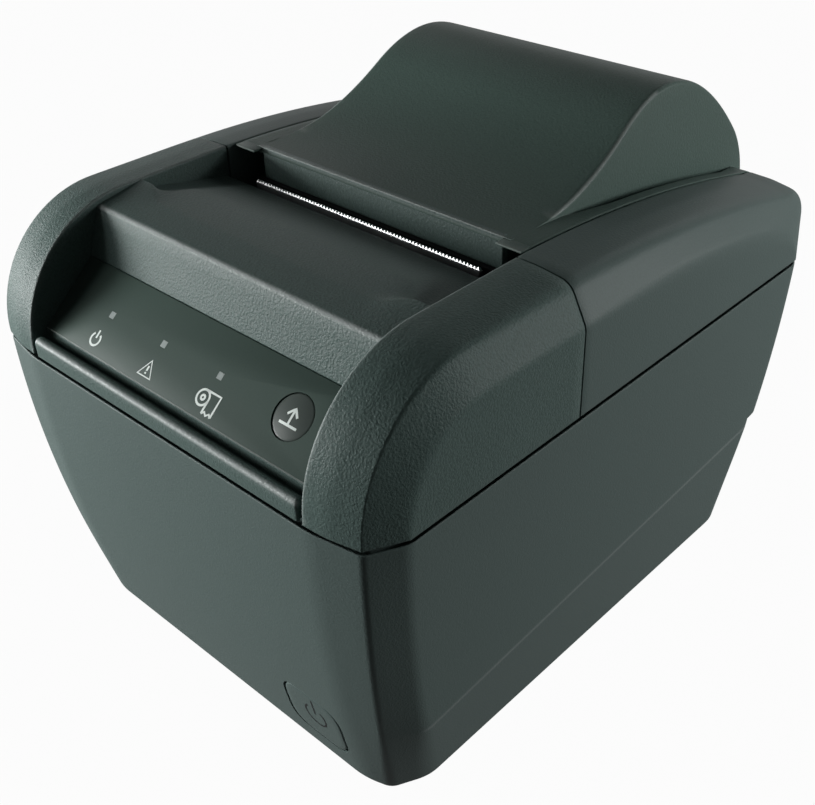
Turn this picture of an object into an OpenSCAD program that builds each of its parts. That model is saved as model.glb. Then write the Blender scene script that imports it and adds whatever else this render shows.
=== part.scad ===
// Countertop thermal receipt printer with a drop-in paper roll, a hinged lid that
// carries the platen, a sprung print head and a sliding cutter blade.
// Millimetres. +Z is up, the front faces -Y, and the origin lies on the table
// under the middle of the case.

/* [Case] */
// Overall width
body_w = 146; // [142:1:156]
// Depth from the front face to the lid's front edge
deck_d = 73.7; // [73:0.1:80]
// Height of the parting line between lower case and covers
seam_z = 93.7; // [92:0.1:97]
// Height of the lower case's bottom edge above the table
foot_gap = 1; // [0.6:0.1:1.8]
// Wall of the moulded shells
wall = 2.4; // [2:0.1:2.6]
// Half width of the flat part of the front face
flat_x = 54; // [50:1:58]
// How far the front bows forward of its corner creases
crown = 2.3; // [1:0.1:3]
// Width of a corner facet, across
facet_x = 5; // [3:0.5:7]
// Depth of a corner facet, front to back
facet_y = 9.4; // [7:0.2:11]
// How far the front wall tucks in from the parting line to the bottom
front_tuck = 11.5; // [8:0.5:13]
// How far the rear wall tucks in from the parting line to the cable recess
rear_tuck = 6.3; // [4:0.1:7]
// Top of the cable recess at the rear
recess_z = 42.5; // [40:0.5:46]
// Depth of the cable recess
recess_d = 3.5; // [2:0.5:5]
// Draft of the side walls, millimetres in per millimetre down
side_draft = 0.035; // [0.02:0.005:0.05]
// How far the side walls stand in at the bottom edge
base_in = 7; // [6:0.5:10]
// Height of the side crease at the front
crease_front_z = 26; // [22:1:30]
// Height of the side crease at the rear
crease_rear_z = 41; // [38:1:42]

/* [Covers] */
// Height of the flat top over the arms
top_z = 130.3; // [129:0.1:132]
// Radius of the front shoulder
shoulder_r = 35.3; // [33:0.1:37]
// Radius of the long slope from the flat top to the rear
slope_r = 450; // [430:5:500]
// Where the long slope starts, from the front face
slope_start = 62.3; // [55:0.1:70]
// Radius of the rear shoulder
rear_r = 12; // [9:1:14]
// Drop of the shoulder crease below the flat top
crease_drop = 1.3; // [0.5:0.1:2]
// Height of the bevel along the sides
bevel_h = 10.8; // [8:0.2:12]
// Distance from the covers' parting line to the lid's front edge
split_gap = 2.9; // [2.7:0.1:3.2]

/* [Control panel] */
// Depth of the panel's lower edge behind the front face
panel_y = 4.8; // [4.4:0.1:5.2]
// Height of the panel's lower edge
panel_z = 100.2; // [100:0.1:101]
// Slope of the panel in degrees
panel_tilt = 40.5; // [39:0.5:42]
// Length of the panel up its slope
panel_len = 22.8; // [22:0.1:23.5]
// Thickness of the overlay sheet
overlay_t = 0.5; // [0.3:0.1:0.8]
// Diameter of the feed button
feed_d = 11.5; // [10:0.1:12]
// Place of the feed button across the panel
feed_x = 36; // [34:0.5:38]
// Place of the feed button and lights up the slope
feed_v = 11.6; // [11:0.1:12]
// Travel of the feed button
feed_travel = 0.8; // [0.5:0.1:1]
// Side of a square light
light_w = 1.8; // [1.5:0.1:2.4]
// Spacing of the lights
light_pitch = 21.6; // [19:0.1:22.5]

/* [Power button] */
// Width of the power button
power_w = 21.4; // [18:0.2:23]
// Height of the power button
power_h = 18.6; // [16:0.2:19]
// Distance of the power button's middle from the side of the case
power_in = 32.6; // [32:0.2:35]
// Height of the power button's middle
power_z = 17.6; // [17:0.1:19]
// Travel of the power button
power_travel = 2; // [1:0.1:2.5]

/* [Lid] */
// Gap along each side of the lid
lid_gap = 0.6; // [0.4:0.1:1]
// Width of the raised roll housing beyond the paper, at each side
hump_side = 5; // [4.5:0.1:6]
// Highest point of the lid
hump_top = 149; // [147:0.5:151]
// Distance from the rear face to the crest of the roll housing
crest_back = 43.7; // [42:0.1:45]
// Distance from the crest forward to the lowest point of the hollow
hollow_back = 59.3; // [57:0.1:61]
// Depth of the hollow below the flat top
hollow_drop = 0.6; // [0.4:0.1:1.2]
// Share of the slope from hollow to crest that the crest's curve takes
crest_share = 0.34; // [0.3:0.01:0.4]
// How far the lid's two front ears stand ahead of the wall between them
ear_reach = 3; // [2:0.1:4]
// Depth of the round back of the roll housing
back_in = 6.9; // [6:0.1:8]
// Radius of the hinge barrel
barrel_r = 4.2; // [3.8:0.1:4.4]
// Height of the hinge axis above the parting line
hinge_h = 6.1; // [5.9:0.1:6.6]
// Radius of the hinge pins
hinge_pin_r = 1.5; // [1.2:0.1:1.8]
// Wall of the lid
lid_wall = 2.2; // [1.8:0.1:2.5]

/* [Paper roll] */
// Width of the paper
paper_w = 80; // [79:0.5:81]
// Diameter of the largest roll
roll_d = 80; // [76:1:81]
// Height of a full roll's axis
roll_z = 101; // [100.5:0.1:102]

/* [Mechanism] */
// Height of the platen's axis
platen_z = 104; // [103.6:0.1:104.4]
// Radius of the platen roller
platen_r = 6; // [5.5:0.1:6.3]
// Radius of the platen shaft
shaft_r = 2.5; // [2:0.1:3]
// Module of the feed gears
feed_module = 0.6; // [0.58:0.01:0.62]
// Teeth of the platen gear
platen_teeth = 30; // [28:2:30]
// Depth from the lid's front edge to the roll bucket
mech_depth = 26.9; // [26.5:0.1:28]
// Gap from the paper to each side plate of the mechanism
plate_gap = 6.4; // [6.2:0.1:6.8]
// Gap from the feed gears to the outside of the lid
gear_clear = 1.2; // [1:0.1:1.6]
// Thickness of the mechanism's sheet steel
sheet_t = 1.2; // [1:0.1:1.4]
// Diameter of the feed motor
motor_d = 28; // [24:1:28]
// Length of the feed motor
motor_len = 20; // [16:1:24]
// Height of the cut
cut_z = 114; // [113.6:0.1:114.4]
// Thickness of the blades
blade_t = 1.2; // [0.8:0.1:1.3]
// Travel of the moving blade
blade_travel = 7; // [6:0.5:7.5]
// How far the tear bar reaches past the paper at each end
tear_over = 1; // [0.5:0.5:2]
// Pitch of the tear bar's teeth
tear_pitch = 1.125; // [1:0.025:2]
// How far the tear bar stands above the deck
bar_show = 1.4; // [0.8:0.1:2]

/* [Fits] */
// Gap between parts that move past each other
gap = 0.3; // [0.25:0.05:0.4]
// Radial clearance of a running fit
run = 0.05; // [0.02:0.01:0.08]
// Gap between a part and the pocket it drops into
seat = 0.2; // [0.1:0.05:0.3]

/* [Hidden] */
$fn = 48;
hull_fn = 32;
slice_t = 0.01;
over = 1;
roll_clear = 0.6;
bucket_t = 1.8;
bucket_r = roll_d / 2 + roll_clear;
body_d = deck_d + mech_depth + 2 * (bucket_r + bucket_t) + seat + wall;
front = -body_d / 2;
rear = body_d / 2;
half_w = body_w / 2;
power_x = half_w - power_in;
crease_x = half_w - facet_x;
base_x = half_w - base_in;
plate_x = paper_w / 2 + plate_gap;
plate_out = plate_x + sheet_t;
gear_w = 2.6;
gear_x = plate_out + gap + gear_w;
hump_x = paper_w / 2 + hump_side;
lid_x = gear_x + gear_clear;
bay_x = lid_x + lid_gap;
inner_x = lid_x + gap + seat;
tear_w = paper_w + 2 * tear_over;
hinge_y = rear - barrel_r;
hinge_z = seam_z + hinge_h;
crest_y = rear - crest_back;
roll_y = rear - wall - seat - bucket_t - bucket_r;
bay_front = front + deck_d;
split_y = bay_front - split_gap;
paper_y = bay_front - 1.1;
nip = 0.1;
platen_y = paper_y + platen_r + nip / 2;
idler_teeth = 40;
motor_teeth = 14;
function pitch_r(teeth) = feed_module * teeth / 2;
idler_z = platen_z - pitch_r(platen_teeth) - pitch_r(idler_teeth);
mesh_angle = 225;
mesh_gap = pitch_r(idler_teeth) + pitch_r(motor_teeth);
motor_y = platen_y + mesh_gap * cos(mesh_angle);
motor_z = idler_z + mesh_gap * sin(mesh_angle);
deck_z = 121.5;
tear_t = 1.2;
tear_h = 7;
frame_z = 52;
frame_front = platen_y - 32;
frame_rear = platen_y + 10;
screw_r = 1.4;
pilot_r = screw_r + seat / 4;
head_y = paper_y - nip / 2;
head_pivot_y = head_y - 4.2;
head_pivot_z = motor_z + motor_d / 2 + 4.2;
board_z = foot_gap + 8;
board_t = 1.6;
base_t = 3;
base_top = foot_gap + base_t;
port_y = rear - 16;

// ---------- helpers ----------

// Extrudes a (y, z) outline along X from x0 to x1
module along_x(x0, x1) {
    translate([x0, 0, 0]) rotate([90, 0, 90]) linear_extrude(x1 - x0) children();
}

// Extrudes an (x, z) outline along Y from y0 to y1
module along_y(y0, y1) {
    translate([0, y1, 0]) rotate([90, 0, 0]) linear_extrude(y1 - y0) children();
}

module block(low, high) {
    translate(low) cube(high - low);
}

module rod_x(r, x0, x1, y, z) {
    along_x(x0, x1) translate([y, z]) circle(r);
}

module rod_y(r, y0, y1, x, z) {
    along_y(y0, y1) translate([x, z]) circle(r);
}

module rod_z(r, z0, z1, x, y) {
    translate([x, y, z0]) cylinder(r = r, h = z1 - z0);
}

// Draws its children on the right and mirrored on the left
module both_sides() {
    children();
    mirror([1, 0, 0]) children();
}

// Panel frame: X across, Y up the slope, Z out of the panel
module on_panel() {
    translate([0, front + panel_y, panel_z]) rotate([panel_tilt, 0, 0]) children();
}

// Spur gear outline with its first tooth at the given angle
module gear_outline(teeth, size, phase, bore) {
    r = teeth * size / 2;
    pitch = 360 / teeth;
    root = r - 1.15 * size;
    tip = r + 0.85 * size;
    function at(radius, angle) = radius * [cos(angle), sin(angle)];
    outline = [for (i = [0:teeth - 1]) let (a = phase + i * pitch)
        each [at(root, a - 0.32 * pitch), at(r, a - 0.21 * pitch), at(tip, a - 0.09 * pitch),
            at(tip, a + 0.09 * pitch), at(r, a + 0.21 * pitch), at(root, a + 0.32 * pitch)]];
    difference() {
        polygon(outline);
        circle(bore);
    }
}

// ---------- outer form of the case ----------

function tuck(z, total, span) = total * pow(max(0, seam_z - z) / span, 2);

function crease_z(y) = crease_front_z + (crease_rear_z - crease_front_z) * (y - front) / body_d;

function drafted_x(z) = half_w - side_draft * (seam_z - z);

function side_x(y, z) = z > crease_z(y) ? drafted_x(z)
    : base_x + (drafted_x(crease_z(y)) - base_x) * z / crease_z(y);

function front_at(z) = front + tuck(z, front_tuck, seam_z);

function rear_at(z) = rear - tuck(max(z, recess_z), rear_tuck, seam_z - recess_z)
    - (z < recess_z ? recess_d + 0.1 * (recess_z - z) : 0);

// Plan outline of the case at height z, moved in by a wall
function case_outline(z, inset) =
    let (fy = front_at(z) + inset, ry = rear_at(z) - inset,
        cx = crease_x - 0.6 * tuck(z, front_tuck, seam_z) - inset / 2,
        sides = [for (t = [0, 0.33, 0.66, 1]) fy + crown + facet_y
            + t * (ry - fy - 2 * crown - 2 * facet_y)],
        right = concat([[flat_x, fy], [cx, fy + crown]],
            [for (y = sides) [side_x(y, z) - inset, y]],
            [[cx, ry - crown], [flat_x, ry]]))
    concat(right, [for (i = [len(right) - 1:-1:0]) [-right[i][0], right[i][1]]]);

module case_form(z0, z1, steps, inset) {
    hull() for (i = [0:steps]) {
        z = z0 + (z1 - z0 - slice_t) * i / steps;
        translate([0, 0, z]) linear_extrude(slice_t) polygon(case_outline(z, inset));
    }
}

module case_solid(inset, low) {
    case_form(recess_z + (inset > 0 ? 1.5 * inset : 0), seam_z + (inset > 0 ? over : 0), 6, inset);
    case_form(low, recess_z + (inset > 0 ? 1.6 * inset : 0), 5, inset);
}

// Side outline of the covers, moved in at the front, the top and the rear
function arc_points(cy, cz, ry, rz, a0, a1, n) =
    [for (i = [0:n]) let (a = a0 + (a1 - a0) * i / n) [cy + ry * cos(a), cz + rz * sin(a)]];

slope_y = front + slope_start;
function slope_z(y) = top_z - slope_r + sqrt(pow(slope_r, 2) - pow(max(0, y - slope_y), 2));
shoulder_y = front + shoulder_r;
shoulder_z = top_z - shoulder_r;
rear_mid_y = rear - rear_r;
rear_mid_z = slope_z(rear_mid_y) - rear_r;

function top_outline(front_in, top_in, rear_in) = concat(
    [[front + front_in, seam_z]],
    arc_points(shoulder_y, shoulder_z, shoulder_r - front_in, shoulder_r - top_in, 180, 90, 12),
    [for (i = [1:5]) let (y = slope_y + (rear_mid_y - slope_y) * i / 5) [y, slope_z(y) - top_in]],
    arc_points(rear_mid_y, rear_mid_z, rear_r - rear_in, rear_r - top_in, 76, 0, 6),
    [[rear - rear_in, seam_z]]);

// The side outline falls away to the rear in one quarter ellipse
side_flat = 92;
function side_outline(inset) =
    let (fy = front + crown + facet_y + inset, zt = top_z - bevel_h - inset,
        ry = rear - crown - facet_y - inset)
    concat([[fy, seam_z]],
        arc_points(shoulder_y, shoulder_z, shoulder_y - fy, zt - shoulder_z, 180, 90, 8),
        arc_points(front + side_flat, seam_z, ry - front - side_flat, zt - 1 - seam_z, 90, 0, 10));

module cover_form(inset) {
    hull() {
        along_x(-bay_x - 1, bay_x + 1) polygon(top_outline(inset, inset, inset));
        along_x(-crease_x + inset / 2, crease_x - inset / 2)
            polygon(top_outline(crown + inset, crease_drop + inset, crown + inset));
        along_x(-half_w + inset, half_w - inset) polygon(side_outline(inset / 2));
    }
}

// ---------- lower case ----------

boss_r = 4;
boss_x = half_w - 15;
boss_y = [front + 27, rear - 30];
cover_boss_x = half_w - 9;
front_boss = 30;
split_boss = 8.8;
rear_boss = 36;
cover_boss_y = [front + front_boss, split_y - split_boss, roll_y - 25, rear - rear_boss];
cover_boss_z = seam_z - 12;

module lower_case() {
    color("#4b5450") difference() {
        union() {
            difference() {
                case_solid(0, foot_gap);
                case_solid(wall, foot_gap - slice_t - 0.5);
            }
            both_sides() {
                for (y = boss_y) {
                    rod_z(boss_r, base_top, base_top + 22, boss_x, y);
                    block([boss_x, y - 1, base_top], [side_x(y, base_top) - wall / 2, y + 1, base_top + 22]);
                }
                for (y = cover_boss_y) {
                    rod_z(boss_r, cover_boss_z - 14, cover_boss_z, cover_boss_x, y);
                    block([cover_boss_x, y - 1, cover_boss_z - 14],
                        [drafted_x(cover_boss_z - 14) - wall / 2, y + 1, cover_boss_z]);
                }
                rod_z(boss_r, ear_low - 24, ear_low, bucket_ear[0], bucket_ear[1]);
                block([bucket_ear[0], bucket_ear[1] - 1, ear_low - 24],
                    [drafted_x(ear_low - 24) - wall / 2, bucket_ear[1] + 1, ear_low]);
            }
        }
        both_sides() {
            for (y = boss_y) rod_z(pilot_r, base_top - over, base_top + 14, boss_x, y);
            for (y = cover_boss_y) {
                rod_z(screw_r + seat, cover_boss_z - 16, cover_boss_z + over, cover_boss_x, y);
            }
        }
        both_sides() rod_z(pilot_r, ear_low - 10, ear_low + over, bucket_ear[0], bucket_ear[1]);
        port_window();
        power_opening(gap);
    }
    color("#4b5450") port_ears();
}

window_x = 54;
window_low = base_top + 2;
window_high = recess_z - 6;
module port_window() {
    block([-window_x, port_y - 2, window_low], [window_x, rear, window_high]);
}

module power_shape(grow) {
    r = 6;
    translate([power_x, power_z]) offset(r = r + grow, $fn = hull_fn)
        square([power_w - 2 * r, power_h - 2 * r], center = true);
}

module power_opening(grow) {
    along_y(front - over, front + 14) power_shape(grow);
}

module power_button() {
    stem_r = 3;
    face_y = front_at(power_z) + wall;
    color("#4b5450") union() {
        intersection() {
            difference() {
                case_solid(0, foot_gap);
                case_solid(wall, foot_gap - slice_t - 0.5);
            }
            power_opening(0);
        }
        rod_y(stem_r, face_y - 0.5, power_switch_y - power_travel - gap, power_x, power_z);
    }
}

power_switch_y = front + 24;
module power_switch() {
    body = [13, 12, 12];
    plunger_r = 2.2;
    color("#202322") union() {
        block([power_x - body[0] / 2, power_switch_y + 2, base_top],
            [power_x + body[0] / 2, power_switch_y + 2 + body[1], power_z + body[2] / 2]);
        rod_y(plunger_r, power_switch_y, power_switch_y + 3, power_x, power_z);
    }
}

// ---------- base ----------

foot_r = 6;
foot_x = half_w - 27;
foot_y = [front + 26, rear - 32];
foot_deep = 1.4;
post_x = plate_x - 8;
post_y = [frame_front + 5, frame_rear - 11];
post_r = 3;
board_x = boss_x - boss_r - 1.5;
board_y = [frame_rear + 7, port_y - 1];
board_hole = [board_x - 5, board_y[0] + 5, board_y[1] - 22];

module base_plate() {
    color("#3c4341") difference() {
        union() {
            translate([0, 0, foot_gap]) linear_extrude(base_t)
                polygon(case_outline(foot_gap, wall + gap));
            both_sides() for (y = [board_hole[1], board_hole[2]]) {
                rod_z(3.2, base_top, board_z, board_hole[0], y);
            }
        }
        both_sides() {
            for (y = foot_y) rod_z(foot_r + seat, foot_gap - over, foot_gap + foot_deep, foot_x, y);
            for (y = boss_y) screw_hole(boss_x, y);
            for (y = post_y) screw_hole(post_x, y);
            for (y = [board_hole[1], board_hole[2]]) {
                rod_z(pilot_r, base_top + 0.5, board_z + over, board_hole[0], y);
            }
        }
    }
}

screw_head_r = 2.8;
screw_head_h = 1.8;
sunk = 0.1;
module screw_hole(x, y) {
    rod_z(screw_r + seat, foot_gap - over, base_top + over, x, y);
    rod_z(screw_head_r + seat, foot_gap - over, foot_gap + sunk + screw_head_h, x, y);
}

// A pan-head screw pointing up, with a cross slot, its head at the origin
module screw(length) {
    slot = [0.7, 3];
    difference() {
        cylinder(r = screw_head_r, h = screw_head_h);
        for (a = [0, 90]) rotate(a) translate([-slot[0] / 2, -slot[1] / 2, -over])
            cube([slot[0], slot[1], over + 0.9]);
    }
    translate([0, 0, screw_head_h - slice_t]) cylinder(r = screw_r, h = length);
}

module rubber_feet() {
    color("#1d1f1f") both_sides() for (y = foot_y) {
        rod_z(foot_r, 0, foot_gap + foot_deep, foot_x, y);
    }
}

module base_screws() {
    color("#8c9092") both_sides() {
        for (y = boss_y) translate([boss_x, y, foot_gap + sunk]) screw(12);
        for (y = post_y) translate([post_x, y, foot_gap + sunk]) screw(6);
    }
}

module frame_posts() {
    color("#b9a25c") both_sides() for (y = post_y) difference() {
        rod_z(post_r, base_top, frame_z, post_x, y, $fn = 6);
        rod_z(pilot_r, base_top - over, base_top + 9, post_x, y);
        rod_z(pilot_r, frame_z - 8, frame_z + over, post_x, y);
    }
}

// ---------- front cover ----------

lip_z = seam_z + 5.9;
panel_top = [front + panel_y + panel_len * cos(panel_tilt), panel_z + panel_len * sin(panel_tilt)];
ridge = [panel_top[0] + 4.2, panel_top[1] + 12];
band_rear = [ridge[0] + 15.2, top_z - 0.3];
crest = [4, 0.5, 1.1];
bar_y = paper_y - 0.3;
bar_top = deck_z + bar_show;
tear_slot = 1.2;
deck_rear = [bar_y - tear_t - tear_slot, deck_z];
shell_shift = [1.7, -2.2];

// Line over the lip, the panel seat, the riser, the band and the deck
bay_line = [
    [front, seam_z], [front, lip_z - 1.4], [front + 0.5, lip_z - 0.5], [front + 1.5, lip_z],
    [front + 2.5, lip_z - 0.2], [front + 2.9, lip_z - 1.4], [front + 4, lip_z - 1.4],
    [front + panel_y + overlay_t * sin(panel_tilt), panel_z - overlay_t * cos(panel_tilt)],
    [panel_top[0] + overlay_t * sin(panel_tilt), panel_top[1] - overlay_t * cos(panel_tilt)],
    panel_top, [ridge[0] - 0.4, ridge[1] - 1.3], [ridge[0] + 0.2, ridge[1] - 0.2],
    [ridge[0] + 1.6, ridge[1] + 0.4], band_rear - [crest[0], crest[1]], band_rear + [crest[0], -crest[2]], deck_rear];

module bay_band() {
    under = [for (i = [len(bay_line) - 2:-1:1]) bay_line[i] + shell_shift];
    along_x(-bay_x - slice_t, bay_x + slice_t) polygon(concat(bay_line,
        [deck_rear + [0, shell_shift[1]]], under, [[front + shell_shift[0] + 0.1, seam_z]]));
    block([-tear_w / 2 - 2, deck_rear[0] - 2.4, bar_top - tear_h],
        [tear_w / 2 + 2, bar_y - tear_t / 2, deck_z - 1.5]);
}

module front_half() {
    block([-half_w - over, front - over, 0], [half_w + over, split_y - seat / 2, hump_top]);
}

module front_cover() {
    color("#4f5956") difference() {
        union() {
            difference() {
                intersection() {
                    cover_form(0);
                    front_half();
                }
                intersection() {
                    translate([0, 0, -slice_t]) cover_form(wall);
                    both_sides() block([bay_x + wall, front - over, 0], [half_w, split_y + over, hump_top]);
                }
                block([-bay_x, front - over, 0], [bay_x, rear, hump_top]);
                block([-half_w, front, 0], [half_w, rear, seam_z + slice_t]);
            }
            bay_band();
            both_sides() for (i = [0, 1]) cover_boss(cover_boss_y[i]);
            panel_bosses();
        }
        both_sides() for (i = [0, 1]) cover_pilot(cover_boss_y[i]);
        panel_holes();
        tear_seat(seat / 2);
    }
}

module cover_boss(y) {
    rod_z(boss_r, cover_boss_z + slice_t, seam_z + 12, cover_boss_x, y);
    block([bay_x + wall / 2, y - 1, seam_z + 2], [half_w - wall / 2, y + 1, seam_z + 12]);
}

module cover_pilot(y) {
    rod_z(pilot_r, cover_boss_z - over, seam_z + 9, cover_boss_x, y);
}

module cover_screws() {
    color("#8c9092") both_sides() for (y = cover_boss_y) {
        translate([cover_boss_x, y, cover_boss_z - 14 - screw_head_h]) screw(22);
    }
}

board_drop = 7;
panel_board_t = 1.2;
panel_screw = [45, 4.5];
module panel_bosses() {
    both_sides() on_panel() translate([panel_screw[0], panel_screw[1], -board_drop + slice_t])
        cylinder(r = 2.4, h = board_drop - 1.5);
}

module panel_holes() {
    on_panel() {
        translate([feed_x, feed_v, -board_drop]) cylinder(r = feed_d / 2 + gap, h = board_drop + over);
        for (i = [-1:1]) translate([light_x(i) - light_w / 2 - seat / 2,
            feed_v - light_w / 2 - seat / 2, -board_drop])
            cube([light_w + seat, light_w + seat, board_drop + over]);
        both_sides() translate([panel_screw[0], panel_screw[1], -board_drop - over])
            cylinder(r = pilot_r, h = 5);
    }
}

function light_x(i) = -10.8 + i * light_pitch;

module panel_overlay() {
    color("#39413f") on_panel() difference() {
        translate([-bay_x + seat, 0.2, -overlay_t]) cube([2 * (bay_x - seat), panel_len - 0.4, overlay_t]);
        translate([feed_x, feed_v, -over]) cylinder(r = feed_d / 2 + gap, h = 2 * over);
        for (i = [-1:1]) translate([light_x(i) - light_w / 2 - seat / 2,
            feed_v - light_w / 2 - seat / 2, -over])
            cube([light_w + seat, light_w + seat, 2 * over]);
    }
}

module light_pipe(i) {
    pipe = 4.9;
    foot = 1.4;
    color("#b9c2bf") on_panel() translate([light_x(i), feed_v, -pipe]) union() {
        translate([-light_w / 2, -light_w / 2, 0]) cube([light_w, light_w, pipe]);
        translate([-light_w / 2 - 0.6, -light_w / 2 - 0.6, 0]) cube([light_w + 1.2, light_w + 1.2, foot]);
    }
}

module panel_board() {
    color("#2f6b46") on_panel() difference() {
        translate([-48, 1.5, -board_drop - panel_board_t]) cube([96, panel_len - 6, panel_board_t]);
        both_sides() translate([panel_screw[0], panel_screw[1], -board_drop - 2 * over])
            cylinder(r = screw_r + seat, h = 3 * over);
    }
}

module panel_leds() {
    led = [2, 2, 1.2];
    color("#dfe6c9") on_panel() for (i = [-1:1]) {
        translate([light_x(i) - led[0] / 2, feed_v - led[1] / 2, -board_drop]) cube(led);
    }
}

tact_h = 1.4;
module feed_switch() {
    body = 6;
    color("#1f2221") on_panel() translate([feed_x, feed_v, -board_drop]) union() {
        translate([-body / 2, -body / 2, 0]) cube([body, body, tact_h]);
        cylinder(r = 1.7, h = tact_h + 0.5);
    }
}

module feed_button() {
    rim = 0.3;
    dish_r = 24;
    skirt_z = -board_drop + tact_h + 0.5 + feed_travel + 0.2;
    dish_deep = 0.9;
    color("#454e4b") on_panel() translate([feed_x, feed_v, 0]) difference() {
        translate([0, 0, skirt_z]) cylinder(r = feed_d / 2, h = rim - skirt_z);
        translate([0, 0, rim + dish_r - dish_deep]) sphere(dish_r, $fn = 64);
    }
}

module panel_screws() {
    length = 4;
    color("#8c9092") both_sides() on_panel() translate([panel_screw[0], panel_screw[1],
        -board_drop - panel_board_t - screw_head_h]) screw(length);
}

// ---------- tear bar ----------

module tear_seat(grow) {
    block([-tear_w / 2 - grow, bar_y - tear_t - grow, bar_top - tear_h - grow],
        [tear_w / 2 + grow, bar_y + over, bar_top + over]);
}

module tear_bar() {
    tooth = 0.9;
    count = round(tear_w / tear_pitch);
    step = tear_w / count;
    teeth = [for (i = [0:count - 1]) each [[-tear_w / 2 + i * step, bar_top - tooth],
        [-tear_w / 2 + (i + 0.5) * step, bar_top]]];
    color("#d9dcdd") along_y(bar_y - tear_t, bar_y)
        polygon(concat([[-tear_w / 2, bar_top - tear_h]], teeth,
            [[tear_w / 2, bar_top - tooth], [tear_w / 2, bar_top - tear_h]]));
}

// ---------- rear cover ----------

ring_z = hinge_z - barrel_r - 0.4;
hinge_boss_r = hinge_pin_r + 2.4;
module rear_cover() {
    color("#4b5450") difference() {
        union() {
            difference() {
                intersection() {
                    cover_form(0);
                    block([-half_w - over, split_y + seat / 2, 0], [half_w + over, rear + over, hump_top]);
                }
                intersection() {
                    translate([0, 0, -slice_t]) cover_form(wall);
                    both_sides() block([inner_x + wall, front, 0], [half_w, rear, hump_top]);
                }
                block([-inner_x, front, 0], [inner_x, rear + over, hump_top]);
                block([-half_w, front, 0], [half_w, rear + over, seam_z + slice_t]);
            }
            block([-inner_x - 1, roll_y + bucket_r + 0.3, seam_z + slice_t], [inner_x + 1, rear - 0.2, ring_z]);
            block([-inner_x - 1, frame_rear + 1.5, seam_z + slice_t],
                [inner_x + 1, roll_y - bucket_r - bucket_t, seam_z + 4]);
            both_sides() {
                for (i = [2, 3]) cover_boss(cover_boss_y[i]);
                rod_x(hinge_boss_r, inner_x + wall / 2, inner_x + 8, hinge_y, hinge_z);
            }
        }
        both_sides() {
            for (i = [2, 3]) cover_pilot(cover_boss_y[i]);
            rod_x(hinge_pin_r, inner_x - over, inner_x + 7, hinge_y, hinge_z);
        }
    }
}

module hinge_pins() {
    color("#b8bcbe") both_sides() {
        rod_x(hinge_pin_r, lid_x - 7, lid_x + 7, hinge_y, hinge_z);
    }
}

// ---------- lid ----------

// Upper line of the roll housing: hollow, crest and a round back
hollow_y = crest_y - hollow_back;
hollow_z = top_z - hollow_drop;
both_r = pow(hollow_back, 2) / (2 * (hump_top - hollow_z));
crest_r = crest_share * both_r;
hollow_r = both_r - crest_r;
turn_y = hollow_y + (1 - crest_share) * hollow_back;
back_y = rear - back_in;
back_angle = atan((back_y - crest_y) / crest_r);
back_r = back_in / (1 - sin(back_angle));
function hump_z(y) = y < turn_y ? hollow_z + pow(y - hollow_y, 2) / (2 * hollow_r)
    : hump_top - pow(y - crest_y, 2) / (2 * crest_r);

function hump_line(inset) =
    let (y0 = wall_y + inset, n = 26, yb = back_y - inset * sin(back_angle))
    concat([for (i = [0:n]) let (y = y0 + (yb - y0) * i / n,
            slope = y < turn_y ? (y - hollow_y) / hollow_r : (crest_y - y) / crest_r)
            [y, hump_z(y) - inset * sqrt(1 + slope * slope)]],
        arc_points(rear - back_r, hump_z(back_y) - back_r * cos(back_angle),
            back_r - inset, back_r - inset, 90 - back_angle - 4, 0, 8),
        [[rear - inset, min(hinge_z, hump_z(back_y) - back_r * cos(back_angle) - slice_t)]]);

// The front wall stands back between two ears, which are level with the covers' top
wall_y = bay_front + ear_reach;
ear_in = hump_x - 2.3;
ear_end = wall_y + lid_wall / 2;

// Lid's edge line beside the housing, level with the covers' top
function flange_line(drop) = concat(
    [for (i = [0:10]) let (y = bay_front + (rear_mid_y - bay_front) * i / 10) [y, slope_z(y) - drop]],
    arc_points(rear_mid_y, rear_mid_z, rear_r - drop, rear_r - drop, 76, 0, 6),
    [[rear - drop, hinge_z]]);

function band(upper, lower) = concat(upper, [for (i = [len(lower) - 1:-1:0]) lower[i]]);

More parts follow.
